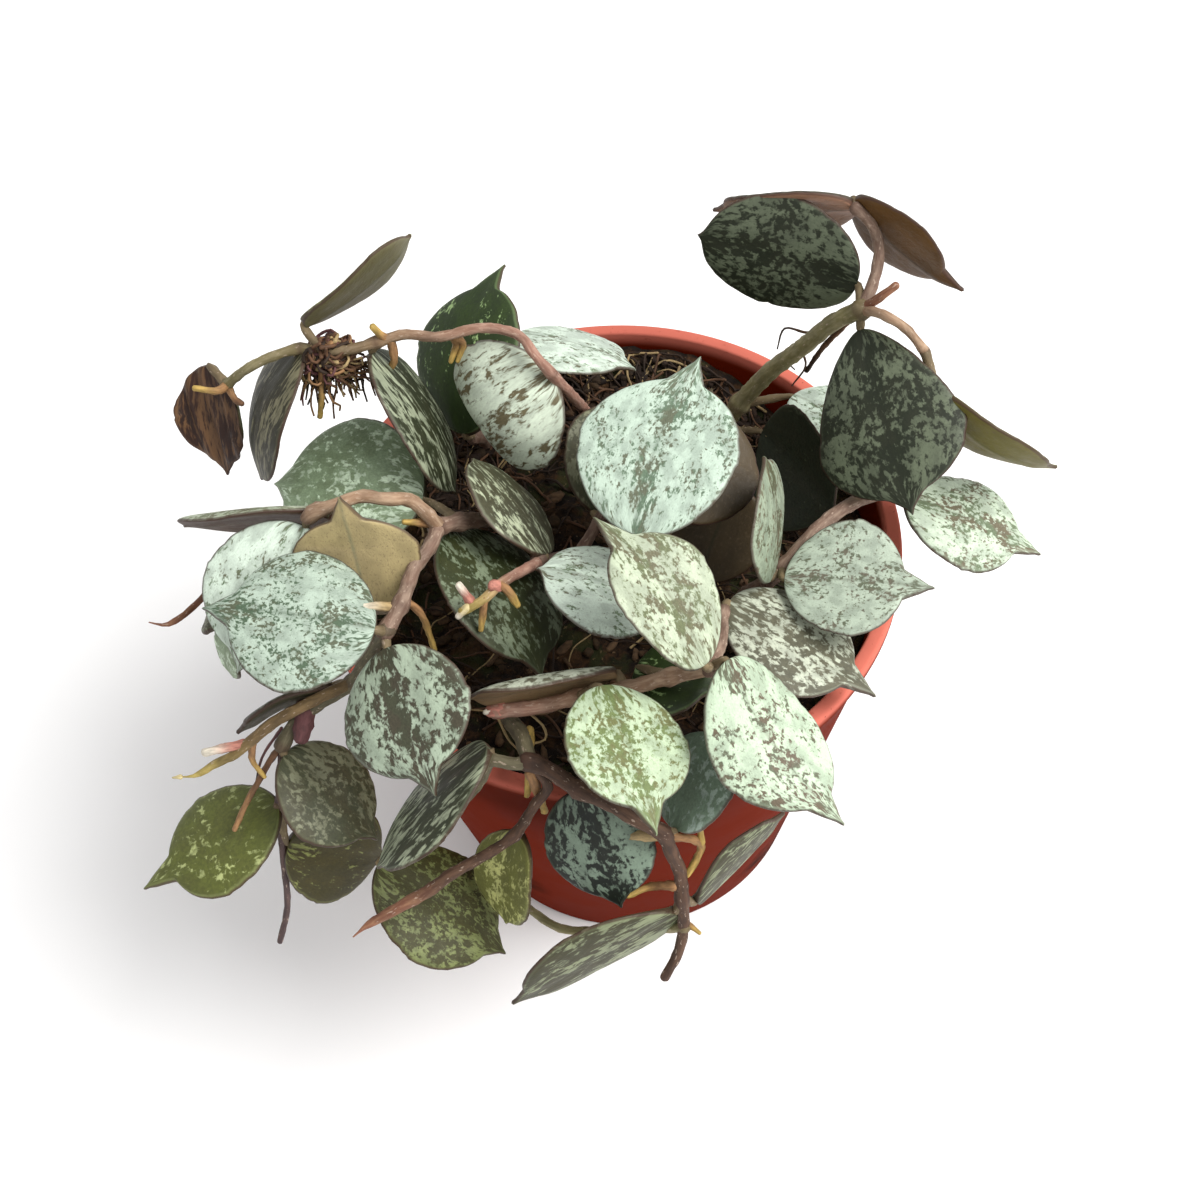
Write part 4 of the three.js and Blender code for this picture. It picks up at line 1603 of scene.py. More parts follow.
@dataclass(frozen=True)
class Pot:
    """The plastic nursery pot, as in the part's source but rounder, in millimetres."""

    height: float = 74
    rim_radius: float = 42.5
    base_radius: float = 30
    wall: float = 1.2
    floor: float = 2
    lip_height: float = 3
    lip_overhang: float = 1.0
    edge_round: float = 0.6
    inner_round: float = 0.4
    corner_round: float = 1.5
    sharp_angle: float = 40
    sides: int = 144
    drain_count: int = 6
    drain_radius: float = 3
    drain_circle: float = 20
    drill_sides: int = 24
    drill_overshoot: float = 3

    @property
    def inner_top(self) -> float:
        """Returns the inner radius at the rim."""
        return self.rim_radius - self.lip_overhang - self.wall

    def inner_radius(self, height: float) -> float:
        """Measures the inside.

        Args:
            height: Height over the pot's foot.

        Returns:
            The inner radius there.
        """
        share = (height - self.floor) / (self.height - self.floor)
        low = self.base_radius - self.wall
        return low + share * (self.inner_top - low)

    def profile(self) -> list[Span]:
        """Draws the section from the middle of the base, over the rim, to the middle of the floor.

        Returns:
            Pairs of radius and height.
        """
        lip_foot, under = self.height - self.lip_height, self.rim_radius - self.lip_overhang
        edge, inner, bend = self.edge_round, self.inner_round, self.corner_round
        top, low = self.inner_top + inner, self.height - inner
        turn, rise = self.inner_radius(self.floor) - bend, self.floor + bend
        arc = [(math.sin(a), math.cos(a)) for a in np.linspace(0, np.pi / 2, 4)]
        return [
            (0, 0),
            *[(self.base_radius - edge + edge * s, edge - edge * c) for s, c in arc],
            (under, lip_foot),
            *[(self.rim_radius - edge + edge * s, lip_foot + edge - edge * c) for s, c in arc],
            *[(self.rim_radius - edge + edge * c, self.height - edge + edge * s) for s, c in arc],
            *[(top - inner * s, low + inner * c) for s, c in arc],
            *[(turn + bend * c, rise - bend * s) for s, c in arc],
            (0, self.floor),
        ]

    def build(self) -> Object:
        """Turns the shell, cuts the drain holes and lays the plastic on it.

        Returns:
            The piece.
        """
        angles = 2 * np.pi * np.arange(self.sides) / self.sides
        rings = self.profile()
        shape = Shape()
        points = [(0, 0, rings[0][1])]
        for radius, height in rings[1:-1]:
            points += [(radius * math.cos(a), radius * math.sin(a), height) for a in angles]
        points.append((0, 0, rings[-1][1]))
        n, last = self.sides, len(points) - 1
        faces = [(0, 1 + (k + 1) % n, 1 + k) for k in range(n)]
        faces += side_faces(n, len(rings) - 2, 1)
        top = last - n
        faces += [(top + k, top + (k + 1) % n, last) for k in range(n)]
        shape.add(np.array(points, float), faces)
        piece = shape.built("nursery_pot", PotPlastic().material())
        self.cut_drains(piece)
        piece.data.set_sharp_from_angle(angle=math.radians(self.sharp_angle))
        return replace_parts(piece, "pot")

    def cut_drains(self, piece: Object) -> None:
        """Cuts the round holes through the floor.

        Args:
            piece: The pot.
        """
        drills = Shape()
        n, radius = self.drill_sides, self.drain_radius
        for i in range(self.drain_count):
            turn = 2 * math.pi * i / self.drain_count
            x, y = self.drain_circle * np.array((math.cos(turn), math.sin(turn)))
            points = [
                (x + radius * math.cos(a), y + radius * math.sin(a), z)
                for z in (-self.drill_overshoot, self.floor + self.drill_overshoot)
                for a in 2 * np.pi * np.arange(n) / n
            ]
            ends = [tuple(reversed(range(n))), tuple(range(n, 2 * n))]
            drills.add(np.array(points), side_faces(n, 2) + ends)
        mesh = bpy.data.meshes.new("drain_drills")
        mesh.from_pydata((np.vstack(drills.points) * MM).tolist(), [], drills.faces)
        tool = bpy.data.objects.new("drain_drills", mesh)
        bpy.context.scene.collection.objects.link(tool)
        cut = piece.modifiers.new("drains", "BOOLEAN")
        cut.operation, cut.solver, cut.object = "DIFFERENCE", "EXACT", tool
        bpy.context.view_layer.update()
        graph = bpy.context.evaluated_depsgraph_get()
        made = bpy.data.meshes.new_from_object(piece.evaluated_get(graph))
        piece.modifiers.clear()
        piece.data = made
        bpy.data.objects.remove(tool)


@dataclass(frozen=True)
class PottingMix:
    """The filling of the pot, with bark chips and fibres on it, in millimetres."""

    pot: Pot
    level: float = 66
    back_rise: float = 5.5
    rise_from: float = 25
    rise_to: float = 37
    lump: float = 0.8
    crumb: float = 0.45
    gap: float = 0.1
    base_gap: float = 0.4
    rings: int = 60
    sectors: int = 180
    chips: int = 760
    chip_inset: float = 2.0
    chip_rest: float = 0.15
    chip_sizes: tuple[Span, ...] = ((0.6, 1.9), (0.4, 1.0), (0.25, 0.6))
    chip_sides: int = 7
    chip_rows: tuple[Span, ...] = ((0.75, -1.0), (1.0, -0.3), (0.98, 0.5), (0.7, 1.0))
    chip_tints: tuple[str, ...] = (
        "#2e2119", "#40301f", "#241a14", "#4b3827", "#33271b", "#5c4733"
    )
    fibres: int = 340
    fibre_inset: float = 1.2
    fibre_stride: float = 1.7
    fibre_shortest: float = 0.5
    fibre_tube: TubeForm = TubeForm(sides=5, wave=0.08)
    fibre_tints: tuple[Tint, ...] = (
        Tint.DARK, Tint.BROWN, Tint.DARK, Tint.DARK, Tint.STRAW, Tint.DARK, Tint.BROWN
    )
    seed: int = 11

    def height(self, x: np.ndarray, y: np.ndarray) -> np.ndarray:
        """Gives the height of the surface.

        Args:
            x: Places across.
            y: Places along.

        Returns:
            The height at each place, in millimetres.
        """
        radius = np.hypot(x, y)
        fade = 1 - np.clip(radius / self.pot.inner_top, 0, 1) ** 4
        broad = np.sin(0.31 * x + 1) * np.cos(0.27 * y) + 0.6 * np.sin(0.55 * y - 0.4 * x)
        crumbs = (
            np.sin(1.3 * x + 1.9 * np.sin(0.9 * y)) * np.sin(1.5 * y + 1.7 * np.sin(1.1 * x))
            + 0.5 * np.sin(3.1 * x + 2.3 * y) * np.sin(2.7 * y - 2.9 * x)
        )
        rise = self.back_rise * smooth(y, self.rise_from, self.rise_to)
        return self.level + rise + self.lump * fade * broad + self.crumb * crumbs

    def build(self) -> Object:
        """Builds the body of the mix.

        Returns:
            The piece.
        """
        angles = 2 * np.pi * np.arange(self.sectors) / self.sectors
        wide = self.pot.inner_radius(self.level) - self.gap
        low = self.pot.floor + self.base_gap
        radii = wide * np.linspace(0, 1, self.rings + 1)[1:]
        x, y = np.outer(radii, np.cos(angles)), np.outer(radii, np.sin(angles))
        z = self.height(x, y)
        at_wall = (radii[:, None] / wide) ** 12
        spread = 1 + (self.pot.inner_radius(z) / (wide + self.gap) - 1) * at_wall
        top = np.stack([x * spread, y * spread, z], axis=-1).reshape(-1, 3)
        foot = self.pot.inner_radius(low) - self.base_gap
        bottom = np.full(len(angles), low)
        skirt = np.stack([foot * np.cos(angles), foot * np.sin(angles), bottom], axis=-1)
        middle = np.array([[0, 0, float(self.height(np.zeros(1), np.zeros(1))[0])]])
        points = np.vstack([middle, top, skirt, [[0, 0, low]]])
        n, rows = self.sectors, self.rings + 1
        faces = [(0, 1 + k, 1 + (k + 1) % n) for k in range(n)]
        # These rings run outwards and then down, so their faces turn the other way.
        faces += [(a, d, c, b) for a, b, c, d in side_faces(n, rows, 1)]
        last, edge = len(points) - 1, 1 + (rows - 1) * n
        faces += [(edge + (k + 1) % n, edge + k, last) for k in range(n)]
        shape = Shape()
        shape.add(points, faces)
        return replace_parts(shape.built("peat", MixSkin().material()), "potting_mix")

    def build_chips(self) -> Object:
        """Scatters bark chips over the surface.

        Returns:
            The piece.
        """
        draw = np.random.default_rng(self.seed)
        shape = Shape()
        for i in range(self.chips):
            x, y = self.spot(draw, self.chip_inset, i % 2 == 0)
            size = np.array([draw.uniform(*span) for span in self.chip_sizes])
            points, faces = self.chip(draw)
            spin = Matrix.Rotation(draw.uniform(0, 2 * math.pi), 3, "Z")
            tilt = Matrix.Rotation(draw.normal(0, 0.35), 3, "X")
            turned = (points * size) @ np.array(tilt @ spin).T
            rest = float(self.height(np.array(x), np.array(y))) + self.chip_rest
            tint = np.array(linear(self.chip_tints[i % len(self.chip_tints)]))
            shape.add(turned + (x, y, rest), faces, chip_tint=tint)
        piece = shape.built("bark_chips", ChipSkin().material())
        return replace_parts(piece, "potting_mix")

    def spot(self, draw: np.random.Generator, inset: float, back: bool) -> tuple[float, float]:
        """Draws a place on the surface.

        Args:
            draw: Source of the random draws.
            inset: How far it keeps from the wall.
            back: Whether it lies on the rise at the back.

        Returns:
            The place across and along.
        """
        spread = self.pot.inner_radius(self.level) - inset
        turn = draw.uniform(0.15, 0.85) * math.pi if back else draw.uniform(0, 2 * math.pi)
        radius = spread * (draw.uniform(0.7, 1.0) if back else math.sqrt(draw.uniform()))
        return radius * math.cos(turn), radius * math.sin(turn)

    def chip(self, draw: np.random.Generator) -> tuple[np.ndarray, list[Face]]:
        """Shapes one splintered chip about the origin.

        Args:
            draw: Source of the random draws.

        Returns:
            Its points, about one unit across, and its faces.
        """
        n, rows = self.chip_sides, len(self.chip_rows)
        angles = 2 * np.pi * (np.arange(n) + draw.uniform(-0.3, 0.3, n)) / n
        reach = draw.uniform(0.7, 1.15, n)
        points = [
            (share * r * math.cos(a), share * r * math.sin(a), z)
            for share, z in self.chip_rows
            for a, r in zip(angles, reach)
        ]
        ends = [tuple(reversed(range(n))), tuple(range((rows - 1) * n, rows * n))]
        rough = draw.normal(0, 0.06, (rows * n, 3))
        return np.array(points) + rough, side_faces(n, rows) + ends

    def build_fibres(self, finish: Material) -> Object:
        """Lays coconut fibres over the surface.

        Args:
            finish: Their material.

        Returns:
            The piece.
        """
        draw = np.random.default_rng(self.seed + 1)
        shape = Shape()
        limit = self.pot.inner_radius(self.level) - self.fibre_inset
        for i in range(self.fibres):
            place = np.array(self.spot(draw, self.fibre_inset, i % 2 == 0))
            heading = draw.uniform(0, 2 * math.pi)
            bend = draw.normal(0, 0.22)
            line = []
            for _ in range(int(draw.integers(5, 13))):
                if np.hypot(*place) > limit:
                    place = place * limit / np.hypot(*place)
                ground = float(self.height(place[0], place[1]))
                line.append((*place, ground + draw.uniform(0.1, 1.3)))
                heading += bend + draw.normal(0, 0.15)
                ahead = np.array((math.cos(heading), math.sin(heading)))
                place = place + self.fibre_stride * ahead
            if np.linalg.norm(np.diff(line, axis=0), axis=1).min() < self.fibre_shortest:
                continue
            path, far = stepped(curved(tuple(line), 4), self.fibre_tube.step)
            radii = np.full(len(far), draw.uniform(0.1, 0.24))
            points, faces, lie, _ = self.fibre_tube.mesh(path, radii, 0.2 * i)
            tint = np.array(linear(self.fibre_tints[i % len(self.fibre_tints)].value))
            shape.add(points, faces, root_lie=lie, root_tint=tint)
        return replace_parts(shape.built("coconut_fibres", finish), "potting_mix")


@dataclass(frozen=True)
class Studio:
    """The pale floor, the soft lights and the camera at the photograph's angle.

    The aim and the distance are in millimetres and the other places and sizes in metres.
    """

    elevation: float = 56.0
    distance: float = 272.0
    roll: float = -5.15
    lens: float = 48.0
    sensor: float = 36.0
    clip: Span = (0.01, 20.0)
    aim: Point = (-2.2, 13.4, 37.8)
    floor_size: float = 6.0
    floor_drop: float = 0.0002
    sky: float = 0.75
    sky_colour: Colour = (1.0, 1.0, 0.99, 1.0)
    key: float = 13.0
    key_colour: Point = (1.0, 0.985, 0.96)
    key_size: float = 0.7
    key_from: Point = (0.58, -0.16, 0.85)

    def build_floor(self) -> None:
        """Lays the floor."""
        half = self.floor_size / 2
        mesh = bpy.data.meshes.new("floor")
        corners = [(-half, -half, 0), (half, -half, 0), (half, half, 0), (-half, half, 0)]
        mesh.from_pydata(corners, [], [(0, 1, 2, 3)])
        mesh.materials.append(FloorPaint().material())
        floor = bpy.data.objects.new("floor", mesh)
        floor.location.z = -self.floor_drop
        bpy.context.scene.collection.objects.link(floor)

    def build_lights(self) -> None:
        """Hangs the soft key light and lights the sky."""
        world = bpy.data.worlds.new("studio_sky")
        bpy.context.scene.world = world
        world.use_nodes = True
        sky = world.node_tree.nodes["Background"]
        sky.inputs["Color"].default_value = self.sky_colour
        sky.inputs["Strength"].default_value = self.sky
        lamp = bpy.data.lights.new("key", "AREA")
        lamp.shape, lamp.size, lamp.energy = "DISK", self.key_size, self.key
        lamp.color = self.key_colour
        key = bpy.data.objects.new("key", lamp)
        place = Vector(self.key_from)
        key.location = place
        key.rotation_euler = (place - Vector(self.aim) * MM).to_track_quat("Z", "Y").to_euler()
        bpy.context.scene.collection.objects.link(key)

    def build_camera(self) -> None:
        """Sets up the camera."""
        tilt, roll = math.radians(self.elevation), math.radians(self.roll)
        back = Vector((0, -math.cos(tilt), math.sin(tilt)))
        level, rise = Vector((1, 0, 0)), back.cross(Vector((1, 0, 0)))
        right = level * math.cos(roll) + rise * math.sin(roll)
        above = rise * math.cos(roll) - level * math.sin(roll)
        lens = bpy.data.cameras.new("camera")
        lens.lens, lens.sensor_width = self.lens, self.sensor
        lens.clip_start, lens.clip_end = self.clip
        camera = bpy.data.objects.new("camera", lens)
        place = (Vector(self.aim) + back * self.distance) * MM
        turn = Matrix((right, above, back)).transposed().to_4x4()
        camera.matrix_world = Matrix.Translation(place) @ turn
        bpy.context.scene.collection.objects.link(camera)
        bpy.context.scene.camera = camera

    def build(self) -> None:
        """Builds the whole studio."""
        self.build_floor()
        self.build_lights()
        self.build_camera()
        view = bpy.context.scene.view_settings
        view.view_transform, view.look, view.exposure, view.gamma = "Standard", "None", 0.0, 1.0


VINES: tuple[Vine, ...] = (
    Vine(
        node="vine_back_right",
        stems={
            "trunk": Stem((1.5, 1.2), ((18, 25, 58), (19, 23, 68), (22, 23, 74), (26, 21, 83),
                (30, 18, 91), (34, 16, 98), (37, 14, 102)), Bark.OLIVE),
            "rising": Stem((0.85, 0.75), ((37, 14, 102), (39, 17, 104), (40, 20, 107),
                (39, 22, 110), (37, 23, 112)), Bark.PINK),
            "arching": Stem((0.75, 0.6), ((37, 14, 102), (39, 11, 104), (42, 9, 103),
                (45, 8, 99)), Bark.TAN),
            "stub": Stem((0.7, 0.55), ((37, 14, 102), (39, 13, 105), (41, 13, 107)), Bark.RED),
        },
        leaves=(
            Leaf(Look.DARK, "trunk", 6, (37, 18, 103), (16, 26, 107), turn=-80, width=18, arch=-1,
                 widest=0.5, point=0.04, foot=2),
            Leaf(Look.DARK, "rising", 4, (37, 24, 112), (19, 34, 104), turn=60, width=14, arch=0,
                 under=Under.RED_BROWN),
            Leaf(Look.DARK, "rising", 4, (37, 25, 112), (51, 15, 103), turn=-70, width=16, arch=0,
                 cup=0, sway=-1.5, point=0.2, under=Under.MAROON),
            Leaf(Look.DARK, "trunk", 6, (37, 13, 99), (41, -11, 88), turn=30, width=21, arch=1.5,
                 cup=-1.5, widest=0.58, point=0.1, foot=1.35),
            Leaf(Look.OLIVE, "arching", 3, (46, 2, 97), (63, -3, 85), turn=-60, width=14, arch=-2,
                 cup=0, under=Under.OLIVE_BROWN),
            Leaf(Look.DARK_PLAIN, "trunk", 1, (25, 17, 74), (33, 0, 76), turn=65, arch=-1, cup=4,
                 point=0.06),
            Leaf(Look.FROSTED_PALE, "trunk", 2, (30, 21, 77), (40, 9, 78), turn=0, width=12,
                 cup=0),
        ),
        roots=(
            Root((0.5, 0.35), ((36, 16, 98), (33, 17, 92), (31, 18, 86)), Tint.BROWN, Tint.DARK),
            Root((0.3, 0.12), ((34, 16, 98), (31, 19, 93), (28, 22, 91),
                 (27, 21, 88)), Tint.BROWN, Tint.DARK),
            Root((0.28, 0.12), ((32, 17, 95), (30, 20, 90), (31, 19, 86),
                 (29, 18, 83)), Tint.BROWN, Tint.DARK),
            Root((0.25, 0.12), ((29, 19, 89), (28, 22, 85), (30, 22, 82)), Tint.DARK, Tint.DARK),
        ),
    ),
    Vine(
        node="vine_right",
        stems={
            "trunk": Stem((1.3, 0.9), ((18, -6, 58), (19, -8, 67), (21, -11, 74), (23, -14, 82),
                (30, -8, 84), (35, -5, 84), (40, -3, 83)), Bark.PINK),
        },
        leaves=(
            Leaf(Look.CREAM, "trunk", 6, (42, -4, 82), (61, -10, 74), turn=5, width=15, point=0.2),
            Leaf(Look.MINT, "trunk", 3, (23, -17, 84), (42, -22, 86), turn=10, width=17, arch=0.5,
                 cup=1.5, point=0.2),
            Leaf(Look.SHADED, "trunk", 3, (21, -16, 83), (21, -7, 98), turn=70, width=17,
                 point=0.06),
        ),
    ),
    Vine(
        node="vine_right_front",
        stems={
            "trunk": Stem((1.2, 1), ((12, -13, 58), (11, -15, 68), (11, -24, 78),
                (11, -33, 89)), Bark.PINK),
            "cutBack": Stem((1, 1), ((11, -33, 89), (6, -32, 86), (0, -32, 84), (-6, -32, 83),
                (-12, -33, 83), (-17, -33, 83)), Bark.TAN, Bark.ROSE),
            "sideShoot": Stem((0.9, 0.75), ((11, -33, 89), (13, -28, 87),
                (14, -22, 85)), Bark.PINK),
        },
        leaves=(
            Leaf(Look.BROWN_SILVER, "sideShoot", 2, (15, -20, 84), (33, -33, 78), turn=-10,
                 width=17, point=0.2),
            Leaf(Look.BRIGHT, "trunk", 3, (13, -34, 92), (25, -54, 84), turn=-10, width=15.5,
                 arch=1.5, cup=-1.5, sway=2.6, point=0.16),
            Leaf(Look.YELLOWED, "trunk", 3, (10, -35, 93), (-2, -19, 104), turn=15, width=15,
                 arch=2.5, cup=1, point=0.2),
            Leaf(Look.FROSTED_PALE, "trunk", 2, (6, -21, 85), (-10, -16, 90), turn=15, width=17,
                 point=0.06),
            Leaf(Look.BROWN_SILVER, "cutBack", 2, (-1, -30, 85), (-20, -33, 87), turn=75, width=12,
                 arch=0.5, cup=-2.5, point=0.04, under=Under.BROWN),
            Leaf(Look.YELLOW_GREEN, "cutBack", 3, (-3, -35, 90), (2, -55, 88), turn=-20,
                 width=16.5, cup=0, point=0.18),
            Leaf(Look.DARK_SPARSE, "cutBack", 1, (2, -27, 81), (12, -33, 83), turn=0, width=14,
                 cup=0),
        ),
        roots=(
            Root((1.1, 0.95), ((-16.4, -33, 83), (-17.5, -33, 83)), Tint.PINK, Tint.PINK),
            Root((0.5, 0.4), ((-17.4, -33.2, 83.3), (-18.3, -33.3, 83.4)), Tint.WHITE, Tint.WHITE),
        ),
    ),
    Vine(
        node="vine_center",
        stems={
            "trunk": Stem((1.3, 1), ((9, 2, 58), (8, -1, 68), (7, -10, 84),
                (6, -16, 94)), Bark.PINK),
        },
        leaves=(
            Leaf(Look.FROSTED, "trunk", 3, (3, -17, 97), (14, 6, 104), turn=-5, width=22, cup=0,
                 sway=-1, point=0.17),
            Leaf(Look.HALF_GREEN, "trunk", 3, (9, -10, 90), (16, 10, 93), turn=205,
                 under=Under.TAUPE),
            Leaf(Look.HALF_GREEN, "trunk", 1, (12, -9, 74), (19, 1, 85), turn=200, width=15, cup=0,
                 under=Under.TAUPE),
        ),
    ),
    Vine(
        node="vine_back_left",
        stems={
            "trunk": Stem((1.1, 0.9, 0.7, 0.75, 0.7), ((1, 27, 58), (0, 25, 68), (-2, 16, 84),
                (-4, 11, 94), (-6, 10, 99), (-8, 11, 102), (-10, 14, 103), (-15, 16, 103),
                (-21, 16, 102), (-26, 18, 101), (-30, 18, 100), (-34, 18, 99), (-38, 19, 98),
                (-41, 20, 98), (-45, 19, 98), (-49, 19, 96),
                (-53, 20, 92)), Bark.ROSE, Bark.OLIVE),
        },
        leaves=(
            Leaf(Look.LOBED, "trunk", 4, (-6, 11, 98), (-18, 12, 86), turn=-50, width=20, arch=4,
                 cup=-2, hook=-3, point=0.04),
            Leaf(Look.STREAKED, "trunk", 10, (-31, 18, 98), (-22, 6, 80), turn=-50, width=19,
                 arch=2, point=0.04),
            Leaf(Look.STREAKED_DARK, "trunk", 13, (-41, 21, 97), (-50, 11, 81), turn=35, width=19,
                 arch=3, widest=0.55, point=0.04),
            Leaf(Look.OLIVE, "trunk", 12, (-40, 21, 102), (-24, 30, 108), turn=-60, width=16,
                 arch=-1, cup=0, widest=0.65, point=0.04, under=Under.OLIVE),
            Leaf(Look.DEAD, "trunk", 16, (-56, 24, 92), (-56, 15, 78), turn=30, width=12, arch=0,
                 cup=2),
        ),
        roots=(
            Root((0.7, 0.5), ((-28, 18, 100), (-29, 18, 101), (-30, 18, 103))),
            Root((0.7, 0.4), ((-28, 18, 100), (-28, 17, 97), (-30, 17, 94))),
            Root((0.7, 0.4), ((-19, 16, 102), (-19, 17, 99), (-20, 16, 97))),
            Root((0.6, 0.4), ((-19, 16, 102), (-18, 17, 99), (-19, 16, 97))),
            Root((0.7, 0.4), ((-53, 20, 92), (-54, 18, 93), (-57, 18, 94))),
            Root((0.6, 0.4), ((-38, 19, 98), (-39, 16, 93), (-40, 15, 89))),
            Root((0.6, 0.45), ((-53, 20, 92), (-52, 18, 91),
                 (-51, 17, 91)), Tint.AMBER, Tint.BROWN),
            Root((0.2, 0.12), ((-41, 20, 98), (-44, 18, 95),
                 (-42, 17, 94)), Tint.STRAW, Tint.STRAW),
        ),
        tangle=Tangle((-37, 19, 98), (6, 4, 11)),
    ),
    Vine(
        node="vine_back",
        stems={
            "trunk": Stem((1.2, 1), ((-18, 27, 58), (-18, 25, 68), (-19, 18, 78)), Bark.PINK),
            "sideShoot": Stem((0.9, 0.8), ((-18, 25, 68), (-15, 26, 76),
                (-12, 29, 82)), Bark.PINK),
        },
        leaves=(
            Leaf(Look.DARK_SPARSE, "trunk", 2, (-20, 16, 81), (-12, 39, 92), turn=-20, width=18,
                 arch=4, sway=-1, point=0.18),
            Leaf(Look.FROSTED_PALE, "sideShoot", 2, (-11, 30, 86), (6, 23, 84), turn=-30),
        ),
    ),
    Vine(
        node="vine_left",
        stems={
            "trunk": Stem((1.2, 1.1), ((-13, 10, 58), (-14, 7, 68), (-15, 0, 80), (-17, -4, 86),
                (-20, -7, 90), (-23, -9, 92)), Bark.PINK),
            "upperArch": Stem((1, 0.9, 0.9), ((-23, -9, 92), (-24, -9, 95), (-26, -8, 97),
                (-29, -9, 99), (-32, -9, 100), (-35, -10, 100), (-38, -10, 99),
                (-39, -10, 98)), Bark.TAN),
            "lowerArch": Stem((1, 1), ((-23, -9, 92), (-24, -13, 93), (-26, -16, 93),
                (-27, -19, 93), (-28, -22, 93), (-30, -25, 92)), Bark.PINK),
            "overRim": Stem((1, 0.9), ((-30, -25, 92), (-33, -25, 87), (-36, -26, 82),
                (-41, -27, 79), (-45, -28, 76), (-47, -30, 74)), Bark.GREY),
            "hanging": Stem((0.55, 0.45), ((-47, -30, 74), (-48, -32, 70), (-49, -35, 66),
                (-50, -39, 58), (-51, -43, 50), (-53, -46, 45)), Bark.DUSK),
            "youngShoot": Stem((0.8, 0.8, 0.45), ((-36, -26, 82), (-42, -28, 81), (-47, -30, 80),
                (-50, -31, 78), (-53, -32, 76), (-56, -32, 74), (-59, -33, 73),
                (-61, -33, 73)), Bark.BROWN, Bark.GOLDEN, True),
            "tendril": Stem((0.55, 0.45), ((-41, -27, 79), (-44, -24, 79), (-49, -18, 79),
                (-54, -11, 79), (-57, -7, 79), (-59, -8, 78), (-61, -11, 79), (-63, -12, 79),
                (-65, -12, 80)), Bark.MAROON, Bark.RED, True),
        },
        leaves=(
            Leaf(Look.GREY_GREEN, "trunk", 4, (-26, 3, 83), (-49, 13, 77), turn=-20, width=22,
                 arch=2.5),
            Leaf(Look.FROSTED_PALE, "upperArch", 7, (-40, -10, 96), (-51, -24, 84), turn=-20,
                 width=19, arch=1.5),
            Leaf(Look.CLUSTERED, "lowerArch", 5, (-31, -26, 94), (-53, -21, 95), turn=-10,
                 width=19.5, arch=1.5, cup=-1.5, widest=0.42, point=0.18),
            Leaf(Look.FROSTED, "lowerArch", 4, (-33, -18, 87), (-34, -12, 104), turn=165, width=17,
                 cup=0, point=0.22, under=Under.TAN),
            Leaf(Look.YELLOWED, "upperArch", 6, (-37, -8, 96), (-59, -1, 87), turn=60, width=16,
                 arch=0.5, cup=-1.5, point=0.04, under=Under.DRY),
            Leaf(Look.HALF_BROWN, "lowerArch", 5, (-30, -27, 91), (-25, -45, 84), turn=30,
                 width=19, cup=-0.5, point=0.16),
            Leaf(Look.DARK_BROWN, "overRim", 5, (-47, -31, 73), (-36, -40, 63), turn=-20,
                 width=16),
            Leaf(Look.OLIVE_BROWN, "hanging", 2, (-49, -38, 60), (-37, -37, 51), turn=55, width=16,
                 cup=0, point=0.08),
            Leaf(Look.OLIVE, "hanging", 2, (-49, -35, 66), (-70, -41, 56), turn=-5, width=15.5,
                 point=0.24),
            Leaf(Look.DARK, "overRim", 2, (-39, -25, 80), (-53, -28, 75), turn=60, width=10, cup=0,
                 under=Under.DARK),
            Leaf(Look.HALF_GREEN, "trunk", 5, (-21, -6, 87), (-11, -27, 80), turn=-35, arch=2.5),
            Leaf(Look.GREY_GREEN, "tendril", 3, (-54, -12, 77), (-56, -14, 67), turn=10, width=7,
                 cup=0),
            Leaf(Look.DARK_BROWN, "tendril", 3, (-55, -11, 77), (-59, -9, 73), turn=-10, width=4,
                 cup=0),
        ),
        roots=(
            Root((0.7, 0.4), ((-24, -9, 93), (-27, -10, 95))),
            Root((0.7, 0.5), ((-29, -22, 93), (-31, -23, 95),
                 (-33, -23, 95)), Tint.STRAW, Tint.WHITE),
            Root((0.6, 0.4), ((-28, -20, 92), (-26, -20, 88), (-25, -22, 82))),
            Root((0.6, 0.3), ((-50, -31, 78), (-51, -32, 74), (-50, -33, 71))),
            Root((0.7, 0.6), ((-51, -31, 77), (-54, -32, 78),
                 (-56, -33, 79)), Tint.PINK, Tint.WHITE),
            Root((0.5, 0.4), ((-47, -30, 74), (-49, -31, 72), (-51, -33, 70), (-53, -35, 68),
                 (-55, -38, 66)), Tint.BROWN, Tint.AMBER),
            Root((1.5, 1.2), ((-43, -27, 78), (-44, -30, 76)), Tint.PLUM, Tint.PLUM),
            Root((0.35, 0.15), ((-61, -33, 73), (-62, -33, 73)), Tint.PALE, Tint.PALE),
            Root((0.25, 0.15), ((-47, -28, 75), (-51, -29, 69),
                 (-53, -31, 64)), Tint.PLUM, Tint.DARK),
        ),
    ),
    Vine(
        node="vine_center_left",
        stems={
            "trunk": Stem((1.3, 1), ((-8, 1, 58), (-8, -2, 68), (-7, -7, 79),
                (-10, -12, 86)), Bark.PINK),
            "twig": Stem((0.8, 0.6), ((-10, -12, 86), (-12, -16, 90), (-15, -20, 93),
                (-17, -22, 93), (-20, -23, 92)), Bark.ROSE, Bark.GOLDEN),
            "sideShoot": Stem((1, 0.8), ((-8, -2, 68), (-4, -3, 76), (-1, -1, 80)), Bark.PINK),
        },
        leaves=(
            Leaf(Look.STREAKED_BROWN, "trunk", 3, (-9, -11, 86), (-18, 2, 92), turn=50, width=18,
                 point=0.04),
            Leaf(Look.DARK_BROWN, "sideShoot", 2, (-2, 1, 79), (5, 17, 84), turn=40, width=17,
                 cup=0),
        ),
        roots=(
            Root((0.7, 0.5), ((-15, -20, 93), (-14, -21, 93), (-13, -22, 91))),
